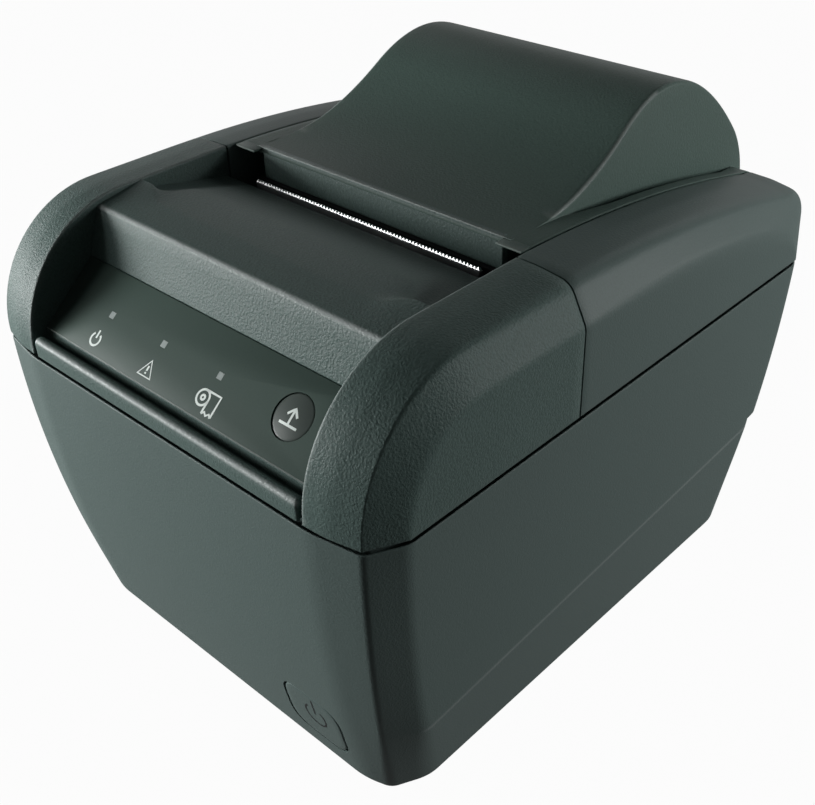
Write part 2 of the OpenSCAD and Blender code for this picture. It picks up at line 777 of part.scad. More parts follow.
barrel_len = lid_x - paper_w / 2 - 1.5;
module lid_shell() {
    color("#424b47") difference() {
        union() {
            along_x(-hump_x, hump_x) polygon(band(hump_line(0), hump_line(lid_wall)));
            both_sides() {
                along_x(hump_x - lid_wall, hump_x) polygon(band(hump_line(0),
                    concat([[wall_y, slope_z(wall_y) - lid_wall]], [for (p = flange_line(lid_wall)) if (p[0] > wall_y) p])));
                along_x(hump_x - slice_t, lid_x) polygon(band(flange_line(0), flange_line(lid_wall)));
                along_x(ear_in, hump_x) polygon([[bay_front, slope_z(bay_front)], [ear_end, slope_z(ear_end)],
                    [ear_end, slope_z(ear_end) - lid_wall], [bay_front, slope_z(bay_front) - lid_wall]]);
                along_x(lid_x - barrel_len, lid_x) translate([hinge_y, hinge_z]) circle(barrel_r);
                along_x(carrier_x[0], carrier_x[1]) polygon([
                    [platen_y - 2, carrier_top], [platen_y - 2, slope_z(platen_y) - 0.5],
                    [platen_y + 8, slope_z(platen_y) - 0.5], [platen_y + 8, carrier_top]]);
            }
            along_x(-lid_x, lid_x) translate([hinge_y, hinge_z]) difference() {
                circle(barrel_r);
                circle(barrel_r - lid_wall);
                translate([-2 * barrel_r, slice_t]) square([4 * barrel_r, 2 * barrel_r]);
                translate([-2 * barrel_r, -2 * barrel_r]) square([2 * barrel_r - 0.2, 4 * barrel_r]);
            }
            block([-ear_in, wall_y, carrier_top], [ear_in, wall_y + lid_wall, hump_z(wall_y) - 0.2]);
        }
        both_sides() {
            rod_x(hinge_pin_r + run, lid_x - barrel_len - over, lid_x + over, hinge_y, hinge_z);
            rod_z(pilot_r, carrier_top - over, carrier_top + 6, carrier_screw[0], carrier_screw[1]);
        }
    }
}

carrier_x = [hump_x - 9, hump_x - 3.2];
carrier_top = 121;
carrier_low = cut_z + blade_t;
carrier_screw = [(carrier_x[0] + carrier_x[1]) / 2, platen_y + 3];
ear_x = [paper_w / 2 + 1.6, plate_x - 0.8];
module platen_carrier() {
    ear_r = 6.4;
    bush_bore = shaft_r + 1.4;
    color("#2c3130") difference() {
        union() {
            block([-ear_x[1], bay_front + 1.6, carrier_low], [ear_x[1], platen_y + 10, carrier_top]);
            both_sides() along_x(ear_x[0], ear_x[1]) union() {
                translate([platen_y, platen_z]) circle(ear_r - 1);
                translate([platen_y - 5, platen_z]) square([12, carrier_low - platen_z + 1]);
            }
            block([flag_x[0], platen_y + 8, rear_plate_top + 4], [flag_x[1], frame_rear, carrier_low + 1]);
        }
        both_sides() {
            rod_x(bush_bore, ear_x[0] - over, ear_x[1] + over, platen_y, platen_z);
            rod_z(screw_r + seat, carrier_low - over, carrier_top + over, carrier_screw[0], carrier_screw[1]);
            rod_z(screw_head_r + seat, carrier_low - over, carrier_low + screw_head_h + 0.4,
                carrier_screw[0], carrier_screw[1]);
        }
    }
}

module carrier_screws() {
    color("#8c9092") both_sides() translate([carrier_screw[0], carrier_screw[1], carrier_low + 0.4]) screw(8);
}

module fixed_blade() {
    deep = 9;
    color("#c9cdcf") difference() {
        block([-paper_w / 2 - 1, paper_y + 0.8, cut_z], [paper_w / 2 + 1, paper_y + 0.8 + deep, cut_z + blade_t]);
        both_sides() rod_z(screw_head_r + seat, cut_z - over, cut_z + 2, carrier_screw[0], carrier_screw[1]);
    }
}

module platen_bushings() {
    color("#d8d4c4") both_sides() difference() {
        rod_x(shaft_r + 1.4, ear_x[0], plate_out, platen_y, platen_z);
        rod_x(shaft_r + run, ear_x[0] - over, plate_out + over, platen_y, platen_z);
    }
}

module platen_shaft() {
    color("#b8bcbe") rod_x(shaft_r, -gear_x, plate_out + 0.4, platen_y, platen_z);
}

module platen_rubber() {
    color("#232525") difference() {
        rod_x(platen_r, -paper_w / 2 - 0.5, paper_w / 2 + 0.5, platen_y, platen_z);
        rod_x(shaft_r, -paper_w / 2 - over, paper_w / 2 + over, platen_y, platen_z);
    }
}

module feed_gear(teeth, phase, bore, y, z) {
    color("#e6e3d8") along_x(-gear_x, -plate_out - gap) translate([y, z])
        gear_outline(teeth, feed_module, phase, bore);
}

module platen_gear() {
    feed_gear(platen_teeth, 270, shaft_r, platen_y, platen_z);
}

module idler_gear() {
    feed_gear(idler_teeth, 90 + 180 / idler_teeth, idler_pin_r + run, platen_y, idler_z);
}

module motor_pinion() {
    feed_gear(motor_teeth, mesh_angle - 180, motor_shaft_r, motor_y, motor_z);
}

idler_pin_r = 1.6;
module idler_axle() {
    color("#b8bcbe") union() {
        rod_x(idler_pin_r, -gear_x, -plate_x, platen_y, idler_z);
        rod_x(idler_pin_r + 1, -gear_x - 0.8, -gear_x - gap, platen_y, idler_z);
    }
}

// ---------- paper bucket ----------

bucket_x = paper_w / 2 + 1.2;
bucket_top = seam_z - 0.2;
tongue_t = 2;
ear_low = bucket_top - 2.4;
bucket_ear = [(inner_x + half_w) / 2, roll_y - 5];
module roll_bucket() {
    outer_r = bucket_r + bucket_t;
    color("#333938") difference() {
        union() {
            difference() {
                union() {
                    rod_x(outer_r, -bucket_x - bucket_t, bucket_x + bucket_t, roll_y, roll_z, $fn = 96);
                }
                rod_x(bucket_r, -bucket_x, bucket_x, roll_y, roll_z, $fn = 96);
                block([-bucket_x - 2 * over - bucket_t, roll_y - outer_r - over, bucket_top],
                    [bucket_x + 2 * over + bucket_t, roll_y + outer_r + over, roll_z + outer_r + over]);
            }
            both_sides() {
                block([bucket_x, bucket_ear[1] - 5, ear_low], [half_w - wall - 3, bucket_ear[1] + 5, bucket_top]);
            }
            block([-bucket_x, frame_rear + 0.5, frame_z + sheet_t],
                [bucket_x, roll_y - 10, frame_z + sheet_t + tongue_t]);
            block([-bucket_x, roll_y - 14, frame_z + sheet_t], [bucket_x, roll_y - 10, roll_z - bucket_r + 4]);
        }
        both_sides() rod_z(screw_r + seat, ear_low - over, bucket_top + over, bucket_ear[0], bucket_ear[1]);
        rod_x(bucket_r, -bucket_x, bucket_x, roll_y, roll_z, $fn = 96);
        both_sides() rod_z(screw_r + seat, frame_z - over, frame_z + 9, tongue_screw[0], tongue_screw[1]);
        rod_x(3, bucket_x - over, bucket_x + bucket_t + over, roll_y, near_end_z);
        block([cable_x[0] - 1, frame_rear, frame_z], [cable_x[1] + 1, cable_y + 2, frame_z + sheet_t + 4]);
    }
}

module bucket_screws() {
    color("#8c9092") both_sides() {
        translate([bucket_ear[0], bucket_ear[1], bucket_top + screw_head_h]) rotate([180, 0, 0]) screw(9);
        translate([tongue_screw[0], tongue_screw[1], frame_z + sheet_t + tongue_t + screw_head_h])
            rotate([180, 0, 0]) screw(5);
    }
}

near_end_z = roll_z - bucket_r + 12;
module near_end_sensor() {
    body = [6, 10, 8];
    color("#22272a") block([bucket_x + bucket_t, roll_y - body[1] / 2, near_end_z - body[2] / 2],
        [bucket_x + bucket_t + body[0], roll_y + body[1] / 2, near_end_z + body[2] / 2]);
}

// ---------- mechanism frame ----------

arm_front = frame_front - 13;
plate_top = cut_z + 2.5;
shelf_z = cut_z - 13;
rear_plate_top = platen_z - 6;
tongue_screw = [plate_x - 11, frame_rear + 4];

module chassis() {
    slot_r = shaft_r + 1.4 + gap;
    color("#aeb4b6") difference() {
        union() {
            block([-plate_out, frame_front, frame_z], [plate_out, frame_rear + 7, frame_z + sheet_t]);
            both_sides() along_x(plate_x, plate_out) polygon([
                [frame_front, frame_z], [frame_rear, frame_z], [frame_rear, platen_z + 4],
                [head_pivot_y - 2, platen_z + 4], [head_pivot_y - 5, plate_top],
                [arm_front, plate_top], [arm_front, shelf_z - 2], [frame_front, shelf_z - 14]]);
            block([-plate_out, frame_rear - sheet_t, frame_z], [plate_out, frame_rear, rear_plate_top]);
            block([-plate_out, arm_front, shelf_z], [plate_out, bracket_y[0] - gap, shelf_z + sheet_t]);
        }
        both_sides() {
            rod_x(slot_r, plate_x - over, plate_out + over, platen_y, platen_z);
            block([plate_x - over, platen_y - slot_r, platen_z], [plate_out + over, platen_y + slot_r, plate_top]);
            rod_x(head_shaft_r, plate_x - over, plate_out + over, head_pivot_y, head_pivot_z);
            for (y = post_y) rod_z(screw_r + seat, frame_z - over, frame_z + sheet_t + over, post_x, y);
            rod_z(pilot_r, frame_z - over, frame_z + sheet_t + over, tongue_screw[0], tongue_screw[1]);
        }
        rod_x(5.5, -plate_out - over, -plate_x + over, motor_y, motor_z);
        rod_x(idler_pin_r, -plate_out - over, -plate_x + over, platen_y, idler_z);
        block([cable_x[0] - 1, frame_rear - sheet_t - over, frame_z + sheet_t + 3],
            [cable_x[1] + 1, frame_rear + over, frame_z + sheet_t + 6]);
    }
}

module chassis_screws() {
    color("#8c9092") both_sides() for (y = post_y) {
        translate([post_x, y, frame_z + sheet_t + screw_head_h]) rotate([180, 0, 0]) screw(7);
    }
}

motor_shaft_r = 1;
module feed_motor() {
    boss = 5;
    color("#5b6062") union() {
        rod_x(motor_d / 2, -plate_x, -plate_x + motor_len, motor_y, motor_z);
        rod_x(boss, -plate_out, -plate_x + slice_t, motor_y, motor_z);
        rod_x(motor_shaft_r, -gear_x, -plate_out + slice_t, motor_y, motor_z);
    }
}

// ---------- print head ----------

head_t = 1.1;
head_shaft_r = 1.5;
sink_back = head_y - head_t - 4.4;
head_top = cut_z - 2.5;
head_w = paper_w + 3;
module print_head() {
    color("#e9e4d6") block([-head_w / 2, head_y - head_t, head_pivot_z + 6], [head_w / 2, head_y, head_top]);
}

module head_heatsink() {
    lug_r = 2.9;
    fins = 8;
    step = (head_w - 8) / fins;
    color("#9aa0a3") difference() {
        union() {
            block([-head_w / 2, sink_back, head_pivot_z], [head_w / 2, head_y - head_t, head_top]);
            rod_x(lug_r, -head_w / 2, head_w / 2, head_pivot_y, head_pivot_z);
        }
        rod_x(head_shaft_r + run, -head_w / 2 - over, head_w / 2 + over, head_pivot_y, head_pivot_z);
        for (i = [0:fins]) translate([-head_w / 2 + 3 + i * step, sink_back - over, head_pivot_z + 5])
            cube([step / 3, 2.2 + over, head_top - head_pivot_z]);
    }
}

module head_shaft() {
    color("#b8bcbe") rod_x(head_shaft_r, -plate_out, plate_out, head_pivot_y, head_pivot_z);
}

bracket_y = [sink_back - 10.6, sink_back - 6.6];
spring_x = head_w / 2 - 18;
spring_z = head_pivot_z + 14.3;
spring_r = 3;
module head_bracket() {
    color("#8f9598") difference() {
        block([-plate_x, bracket_y[0], spring_z - 6], [plate_x, bracket_y[1], spring_z + 6]);
        both_sides() rod_y(spring_r + 2 * gap, bracket_y[1] - 3.2, bracket_y[1] + over, spring_x, spring_z);
    }
}

module head_springs() {
    coil = 1.1;
    turns = floor((sink_back - bracket_y[1] + 2.2) / coil);
    color("#c3c7c9") both_sides() translate([spring_x, sink_back, spring_z]) rotate([90, 0, 0])
        rotate_extrude() polygon(concat([[spring_r - 0.8, 0]],
            [for (i = [0:turns - 1]) each [[spring_r - 0.3, i * coil], [spring_r, (i + 0.5) * coil]]],
            [[spring_r - 0.3, turns * coil], [spring_r - 0.8, turns * coil]]));
}

// ---------- cutter ----------

cutter_module = 0.8;
cutter_teeth = 10;
cutter_r = cutter_module * cutter_teeth / 2;
blade_top = cut_z - 0.1;
rack_root = blade_top - blade_t - 0.6;
pinion_z = rack_root - 1.15 * cutter_module - cutter_r;
pinion_y = bracket_y[0] - 9;
rack_x = [28, 33];
blade_front = paper_y - 1.2;
blade_wing = blade_front - 8.5;
blade_rear = blade_front - 35.5;
rail_x = [plate_x - 3, plate_x - 1.5];

module cutter_blade() {
    pitch = cutter_module * PI;
    tongue = paper_w / 2 + 1;
    wing = rail_x[1] - gap;
    teeth = floor((blade_travel + 3 * cutter_r) / pitch);
    // A rack gap stands over the pinion's top tooth at rest
    y0 = pinion_y - floor(teeth * 0.72) * pitch;
    low = rack_root - 2 * cutter_module;
    function tooth(y) = [[y + 0.18 * pitch, rack_root], [y + 0.29 * pitch, rack_root - 1.15 * cutter_module],
        [y + 0.41 * pitch, low], [y + 0.59 * pitch, low], [y + 0.71 * pitch, rack_root - 1.15 * cutter_module],
        [y + 0.82 * pitch, rack_root]];
    color("#c9cdcf") union() {
        translate([0, 0, blade_top - blade_t]) linear_extrude(blade_t) polygon([
            [-wing, blade_rear], [wing, blade_rear], [wing, blade_wing], [tongue, blade_wing],
            [tongue, blade_front - 2.5], [0, blade_front], [-tongue, blade_front - 2.5],
            [-tongue, blade_wing], [-wing, blade_wing]]);
        along_x(rack_x[0], rack_x[1]) polygon(concat([[y0, blade_top - blade_t]],
            [for (i = [0:teeth - 1]) each tooth(y0 + i * pitch)], [[y0 + teeth * pitch, blade_top - blade_t]]));
    }
}

module cutter_pinion() {
    color("#d8b45a") along_x(rack_x[0], rack_x[1]) translate([pinion_y, pinion_z])
        gear_outline(cutter_teeth, cutter_module, 90, 1.2);
}

module cutter_motor() {
    half = [6, shelf_z + sheet_t];
    top = blade_top - blade_t - 0.5;
    color("#6c7173") union() {
        block([rack_x[0] - 26, pinion_y - half[0], half[1]], [rack_x[0] - 1, pinion_y + half[0], top]);
        rod_x(1.2, rack_x[0] - 1 - slice_t, rack_x[1] + 1, pinion_y, pinion_z);
    }
}

module cutter_guides() {
    groove = [blade_top - blade_t - gap, blade_top + gap];
    color("#2b302f") both_sides() difference() {
        block([rail_x[0], arm_front + 1, groove[0] - 1.5], [plate_x, blade_wing + 1, plate_top]);
        block([rail_x[0] - over, arm_front, groove[0]], [rail_x[1], blade_wing + 2, groove[1]]);
    }
}

// ---------- sensors ----------

flag_x = [34, 35.5];
module paper_sensor() {
    body = [8, 5, 6];
    rear_face = frame_rear - sheet_t;
    color("#22272a") block([-body[0] / 2, rear_face - body[1], rear_plate_top - 4 - body[2]],
        [body[0] / 2, rear_face, rear_plate_top - 4]);
}

module lid_sensor() {
    arm = 2.2;
    deep = 3.2;
    base = 2;
    color("#22272a") translate([0, frame_rear - deep, rear_plate_top]) difference() {
        block([flag_x[0] - gap - arm, 0, 0], [flag_x[1] + gap + arm, deep, base + 7]);
        block([flag_x[0] - gap, -over, base], [flag_x[1] + gap, deep + over, base + 8]);
    }
}

// ---------- electronics ----------

board_top = board_z + board_t;
module main_board() {
    color("#2f6b46") difference() {
        block([-board_x, board_y[0], board_z], [board_x, board_y[1], board_top]);
        both_sides() for (y = [board_hole[1], board_hole[2]]) {
            rod_z(screw_r + seat, board_z - over, board_top + over, board_hole[0], y);
        }
    }
}

module board_screws() {
    color("#8c9092") both_sides() for (y = [board_hole[1], board_hole[2]]) {
        translate([board_hole[0], y, board_top + screw_head_h]) rotate([180, 0, 0]) screw(5);
    }
}

module board_parts() {
    // Middle of each chip, its width, its depth and its height
    chips = [[[-18, 26], [20, 20, 1.6]], [[12, 26], [18, 8, 1.8]], [[14, 14], [12, 6, 4]],
        [[-34, 26], [6, 24, 7]], [[30, 50], [14, 5, 9]]];
    color("#1d2020") for (c = chips) {
        translate([c[0][0] - c[1][0] / 2, board_y[0] + c[0][1] - c[1][1] / 2, board_top]) cube(c[1]);
    }
    color("#e4e2da") block([cable_x[0] - 1, cable_y - 1, board_top], [cable_x[1] + 1, cable_y + 1.4, board_top + 4]);
}

module board_capacitors() {
    color("#3a4a6a") for (x = [18, 28, 38]) rod_z(4, board_top, board_top + 14, x, board_y[0] + 38);
}

plate_low = window_low + gap;
port_t = 1;
port_ear = window_x - 3;
serial = [-30, 31, 12.5];
usb = [-5, 12, 11];
drawer = [13, 13.4, 13.6];
power = [35, 15, 14];
ports = [serial, usb, drawer, power];
port_front = port_y - 15;
port_rear = port_y + 3;

module port_plate() {
    color("#a9afb1") difference() {
        block([-window_x + gap, port_y, plate_low], [window_x - gap, port_y + port_t, window_high - gap]);
        for (p = ports) block([p[0] - p[1] / 2 - seat, port_y - over, board_top - seat],
            [p[0] + p[1] / 2 + seat, port_y + 2 * over, board_top + p[2] + seat]);
        both_sides() rod_y(screw_r + seat, port_y - over, port_y + 2 * over, port_ear, port_ear_z);
    }
}

port_ear_z = (window_low + window_high) / 2;
module port_ears() {
    both_sides() difference() {
        union() {
            block([port_ear - 3, port_y - 4, port_ear_z - 5], [window_x + 4, port_y, port_ear_z + 5]);
            block([window_x + 0.5, port_y - 4, port_ear_z - 5],
                [window_x + 4, rear_at(port_ear_z - 5) - wall / 2, port_ear_z + 5]);
        }
        rod_y(pilot_r, port_y - 5, port_y + over, port_ear, port_ear_z);
    }
}

module port_screws() {
    color("#8c9092") both_sides() translate([port_ear, port_y + port_t + screw_head_h, port_ear_z])
        rotate([90, 0, 0]) screw(4.5);
}

// A connector body on the board with a socket of the given width and height
module connector(p, socket, deep) {
    difference() {
        block([p[0] - p[1] / 2, port_front, board_top], [p[0] + p[1] / 2, port_rear, board_top + p[2]]);
        block([p[0] - socket[0] / 2, port_rear - deep, board_top + (p[2] - socket[1]) / 2],
            [p[0] + socket[0] / 2, port_rear + over, board_top + (p[2] + socket[1]) / 2]);
    }
}

module power_jack() {
    mid = board_top + power[2] / 2;
    color("#1d2020") union() {
        difference() {
            block([power[0] - power[1] / 2, port_front, board_top],
                [power[0] + power[1] / 2, port_rear, board_top + power[2]]);
            rod_y(5, port_rear - 8, port_rear + over, power[0], mid);
        }
        for (a = [90, 210, 330]) {
            rod_y(0.6, port_rear - 8 - slice_t, port_rear - 2, power[0] + 2.6 * cos(a), mid + 2.6 * sin(a));
        }
    }
}

module drawer_jack() {
    color("#1d2020") connector(drawer, [9.8, 7.6], 12);
}

module usb_port() {
    tongue = [5.6, 3.2];
    mid = board_top + usb[2] / 2;
    color("#c4c8ca") union() {
        connector(usb, [8.5, 7.8], 9);
        block([usb[0] - tongue[0] / 2, port_rear - 9 - slice_t, mid - tongue[1] / 2],
            [usb[0] + tongue[0] / 2, port_rear - 1.5, mid + tongue[1] / 2]);
    }
}

module serial_port() {
    mid = board_top + serial[2] / 2;
    shell = [17, 8.4];
    color("#3f5a86") union() {
        block([serial[0] - serial[1] / 2, port_front, board_top],
            [serial[0] + serial[1] / 2, port_rear - 2, board_top + serial[2]]);
        along_y(port_rear - 2 - slice_t, port_rear + 3) polygon([
            [serial[0] - shell[0] / 2, mid + shell[1] / 2], [serial[0] + shell[0] / 2, mid + shell[1] / 2],
            [serial[0] + shell[0] / 2 - 1.5, mid - shell[1] / 2], [serial[0] - shell[0] / 2 + 1.5, mid - shell[1] / 2]]);
    }
}

cable_x = [2, 22];
cable_t = 0.4;
cable_y = board_y[0] + 2;
module head_cable() {
    back = cable_y;
    pass = frame_z + sheet_t + 4.2;
    turn = bracket_y[1] + 2;
    color("#e4e2da") along_x(cable_x[0], cable_x[1]) polygon([
        [back, board_top + 4], [back + cable_t, board_top + 4], [back + cable_t, pass + cable_t],
        [turn + cable_t, pass + cable_t], [turn + cable_t, head_pivot_z - 4], [turn, head_pivot_z - 4],
        [turn, pass], [back, pass]]);
}

// ---------- choice of node ----------

lower_case();
base_plate();
rubber_feet();
base_screws();
front_cover();
rear_cover();
cover_screws();
panel_overlay();
light_pipe(-1);  // power_light
light_pipe(0);  // error_light
light_pipe(1);  // paper_light
panel_board();
panel_leds();
feed_switch();
feed_button();
panel_screws();
power_button();
power_switch();
tear_bar();
lid_shell();
platen_carrier();
carrier_screws();
fixed_blade();
platen_bushings();
platen_shaft();
platen_rubber();
platen_gear();
hinge_pins();
roll_bucket();
bucket_screws();
chassis();
frame_posts();
chassis_screws();
feed_motor();
motor_pinion();
idler_gear();
idler_axle();
print_head();
head_heatsink();
head_shaft();
head_springs();
cutter_blade();
cutter_motor();
cutter_pinion();
cutter_guides();
head_bracket();
board_screws();
paper_sensor();
near_end_sensor();
lid_sensor();
main_board();
board_parts();
board_capacitors();
port_plate();
port_screws();
power_jack();
drawer_jack();
usb_port();
serial_port();
head_cable();
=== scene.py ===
import math

import bmesh
import bpy
import numpy as np
from mathutils import Matrix, Vector


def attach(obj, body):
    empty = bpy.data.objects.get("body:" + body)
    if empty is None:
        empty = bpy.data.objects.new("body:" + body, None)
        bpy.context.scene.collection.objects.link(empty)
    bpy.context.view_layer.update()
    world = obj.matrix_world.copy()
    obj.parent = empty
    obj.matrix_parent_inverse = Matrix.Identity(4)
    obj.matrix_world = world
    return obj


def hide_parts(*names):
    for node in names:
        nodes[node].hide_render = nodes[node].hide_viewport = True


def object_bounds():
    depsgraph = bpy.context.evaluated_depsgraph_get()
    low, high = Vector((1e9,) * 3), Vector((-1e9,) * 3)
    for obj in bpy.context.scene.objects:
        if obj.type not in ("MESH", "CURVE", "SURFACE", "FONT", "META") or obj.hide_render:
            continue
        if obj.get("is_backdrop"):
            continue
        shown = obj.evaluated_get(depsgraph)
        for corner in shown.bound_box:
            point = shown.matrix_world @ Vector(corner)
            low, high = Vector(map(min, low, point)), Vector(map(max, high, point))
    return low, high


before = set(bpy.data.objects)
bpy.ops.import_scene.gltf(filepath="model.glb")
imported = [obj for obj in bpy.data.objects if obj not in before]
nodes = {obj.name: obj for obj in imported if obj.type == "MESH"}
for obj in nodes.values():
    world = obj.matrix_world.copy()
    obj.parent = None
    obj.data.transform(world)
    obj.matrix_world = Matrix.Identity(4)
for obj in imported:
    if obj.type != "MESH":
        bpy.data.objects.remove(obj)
solid_low, solid_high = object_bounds()

# ---------------- camera
# A normal lens, a little above and to the right of the printer's front corner,
# looking down on it from arm's length.
SENSOR_W, LENS, NEAREST = 36, 51.24, 0.01
STAND = (0.2008, -0.213, 0.2547)
RIGHT, UP, BACK = (0.7284, 0.6847, -0.0264), (-0.3718, 0.4273, 0.8241), (0.5755, -0.5904, 0.5658)


def put(name, data):
    """Puts an object in the scene."""
    made = bpy.data.objects.new(name, data)
    bpy.context.scene.collection.objects.link(made)
    return made


camera = put("camera", bpy.data.cameras.new("camera"))
camera.data.sensor_width, camera.data.lens, camera.data.clip_start = SENSOR_W, LENS, NEAREST
camera.matrix_world = Matrix.Translation(STAND) @ Matrix((RIGHT, UP, BACK)).transposed().to_4x4()
bpy.context.scene.camera = camera


# ---------------- studio
# Plain light from small lamps close by: the main one low on the left front, one above
# it, and weaker ones behind on both sides. Floor and backdrop are pale paper, and
# throw little light back on the printer.
class Val:
    """A node socket that takes part in sums."""

    def __init__(self, look, socket):
        self.look, self.socket = look, socket

    def sum(self, operation, *values):
        return self.look.make("Math", dict(enumerate(values)), {"operation": operation}, family="ShaderNode")

    def __add__(self, other):
        return self.sum("ADD", self, other)

    def __sub__(self, other):
        return self.sum("SUBTRACT", self, other)

    def __rsub__(self, other):
        return self.sum("SUBTRACT", other, self)

    def __mul__(self, other):
        return self.sum("MULTIPLY", self, other)

    __radd__, __rmul__ = __add__, __mul__


class Look:
    """A material, or the world, and its nodes."""
    family = "ShaderNode"

    def __init__(self, name, owner=None):
        self.owner = owner or bpy.data.materials.new(name)
        self.owner.use_nodes = True
        self.tree = self.owner.node_tree
        self.tree.nodes.clear()

    def make(self, kind, takes=None, settings=None, out=0, family=None):
        """Adds one node: its kind, what its sockets take and its settings. Returns one of its outputs."""
        node = self.tree.nodes.new((family or self.family) + kind)
        for key, value in (settings or {}).items():
            setattr(node, key, value)
        for key, value in (takes or {}).items():
            if isinstance(value, Val):
                self.tree.links.new(value.socket, node.inputs[key])
            elif isinstance(value, list):
                for one in value:
                    self.tree.links.new(one.socket, node.inputs[key])
            else:
                node.inputs[key].default_value = value
        return Val(self, node.outputs[out])

    def place(self):
        """The place on the piece, for patterns in the plastic or metal itself."""
        return self.make("TexCoord", out="Object")

    def noise(self, where, scale, **more):
        return self.make("TexNoise", {"Vector": where, "Scale": scale, **more})

    def blend(self, share, first, second):
        """The first colour where share is 0 and the second where it is 1."""
        return self.make("Mix", {0: share, 6: first, 7: second}, {"data_type": "RGBA"}, out=2)

    def close(self, shader, kind="OutputMaterial"):
        """Makes the shader what is seen."""
        node = self.tree.nodes.new(self.family + kind)
        self.tree.links.new(shader.socket, node.inputs["Surface"])

    def surface(self, takes):
        """Ends a material in a solid surface."""
        self.close(self.make("BsdfPrincipled", takes))


def seen(look, by_lens, by_mirror):
    """by_lens where a ray comes from the lens, by_mirror where from a mirror or glass, and 0 elsewhere."""
    lens, mirror, glass = [
        look.make("LightPath", out=f"Is {name} Ray") for name in ("Camera", "Glossy", "Transmission")]
    return lens.sum("MAXIMUM", lens * by_lens, lens.sum("MAXIMUM", mirror, glass) * by_mirror)


def grey(level, tint=(1, 1, 1)):
    return tuple(level * c for c in tint) + (1,)


BACKDROP_FROM, BACKDROP_TO, OVERHEAD, FILL = 0.12, 0.62, 0.12, 0.04
world = bpy.data.worlds.new("studio")
bpy.context.scene.world = world
air = Look("studio", world)
heading = air.make("TexCoord", out="Generated")
height = air.make("SeparateXYZ", {"Vector": heading}, out="Z")
backdrop = air.make("MapRange", {
    "Value": height, "From Min": BACKDROP_FROM, "From Max": BACKDROP_TO, "To Min": 1, "To Max": OVERHEAD},
    {"interpolation_type": "SMOOTHSTEP"})
strength = FILL + (backdrop - FILL) * seen(air, 1, 1)
air.close(air.make("Background", {"Color": grey(1), "Strength": strength}),
          "OutputWorld")

FLOOR_HALF, FLOOR_TONE, FLOOR_SEEN, FLOOR_MIRRORED = 6, 0.1, 0.97, 0.3
floor_mesh = bpy.data.meshes.new("floor")
floor_mesh.from_pydata([(x * FLOOR_HALF, y * FLOOR_HALF, 0) for x, y in ((-1, -1), (1, -1), (1, 1), (-1, 1))],
                       [], [(0, 1, 2, 3)])
floor = put("floor", floor_mesh)
paper = Look("floor_paper")
matt = paper.make("BsdfDiffuse", {"Color": grey(FLOOR_TONE)})
glow = paper.make("Emission", {"Color": grey(1), "Strength": 1})
share = seen(paper, FLOOR_SEEN, FLOOR_MIRRORED)
paper.close(paper.make("MixShader", {0: share, 1: matt, 2: glow}))
floor_mesh.materials.append(paper.owner)
floor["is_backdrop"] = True

LAMPS = (
    # name, place, aim, width in m, watts
    ("left_front", (-0.45, -0.4, 0.14), (0, -0.05, 0.08), 0.2, 5.3),
    ("left_high", (-0.36, -0.48, 0.36), (0, -0.04, 0.12), 0.12, 0.55),
    ("left_low", (-0.55, -0.15, 0.06), (0, -0.03, 0.08), 0.3, 1.2),
    ("right_rear_low", (0.45, 0.33, 0.19), (0, 0.05, 0.08), 0.2, 2.1),
    ("over_rear", (0, 0.6, 0.5), (0, 0, 0.12), 0.2, 0.4),
    ("left_rear", (-1.1, 0.7, 0.8), (0, 0, 0.1), 0.45, 1))
for name, stand, aim, width, watts in LAMPS:
    lamp = bpy.data.lights.new(name, "AREA")
    lamp.shape, lamp.size, lamp.size_y, lamp.energy = "RECTANGLE", width, width, watts
    holder = put(name, lamp)
    holder.location = stand
    holder.rotation_euler = (Vector(aim) - Vector(stand)).to_track_quat("-Z", "Y").to_euler()

# ---------------- lower case
# The tall moulded shell that stands on the table: flat front tucked in towards the
# foot, faceted corners, drafted sides with one crease, and a stepped-in rear for the
# cables. Injection moulded in charcoal plastic with a fine spark-eroded grain.
MM = 0.001
# In mm: half the width and depth, the parting line's height and gap, the gap below, the wall
CASE_W, CASE_D, SEAM_Z, SEAM_GAP, FOOT_GAP, WALL = 73, 94, 93.7, 0.72, 1, 2.4
# Where the front's flat ends, how far it crowns and the corner facets; then how far the walls lean in
FLAT_X, CROWN, FACET_X, FACET_Y = 54, 2.3, 5, 9.4
FRONT_TUCK, REAR_TUCK, CORNER_TUCK, SIDE_DRAFT = 11.5, 6.3, 0.6, 0.035
CREASE_X, CREASE_Z, CREASE_RISE, CREASE_SOFT, SKIRT_FOOT = CASE_W - FACET_X, 26, 15, 0.12, 66
RECESS_Z, RECESS_D, RECESS_DRAFT, LEDGE = 42.5, 3.5, 0.1, 0.6
# Radii at the corners of one side, front to rear, and how much rounder they are at the foot
CORNER_R, FOOT_R = (36, 2.6, 7, 7, 2.6, 36), (0, 2.4, 7, 9, 3.4, 0)
FOOT_FROM, FOOT_FADE = 34, 30
ARC, SIDE_STEPS, END_STEPS, STRAIGHT = 8, 46, 30, 8
# The painted highlight: how much lighter it makes a colour, and how much smoother the finish
HIGHLIGHT_TONE, HIGHLIGHT_SMOOTHING = 0.24, 0.12
SAME_POINT, NO_LENGTH, CORNER_SHARE, TINY, SHARPEST = 2e-6, 1e-6, 0.47, 1e-12, 1e-3


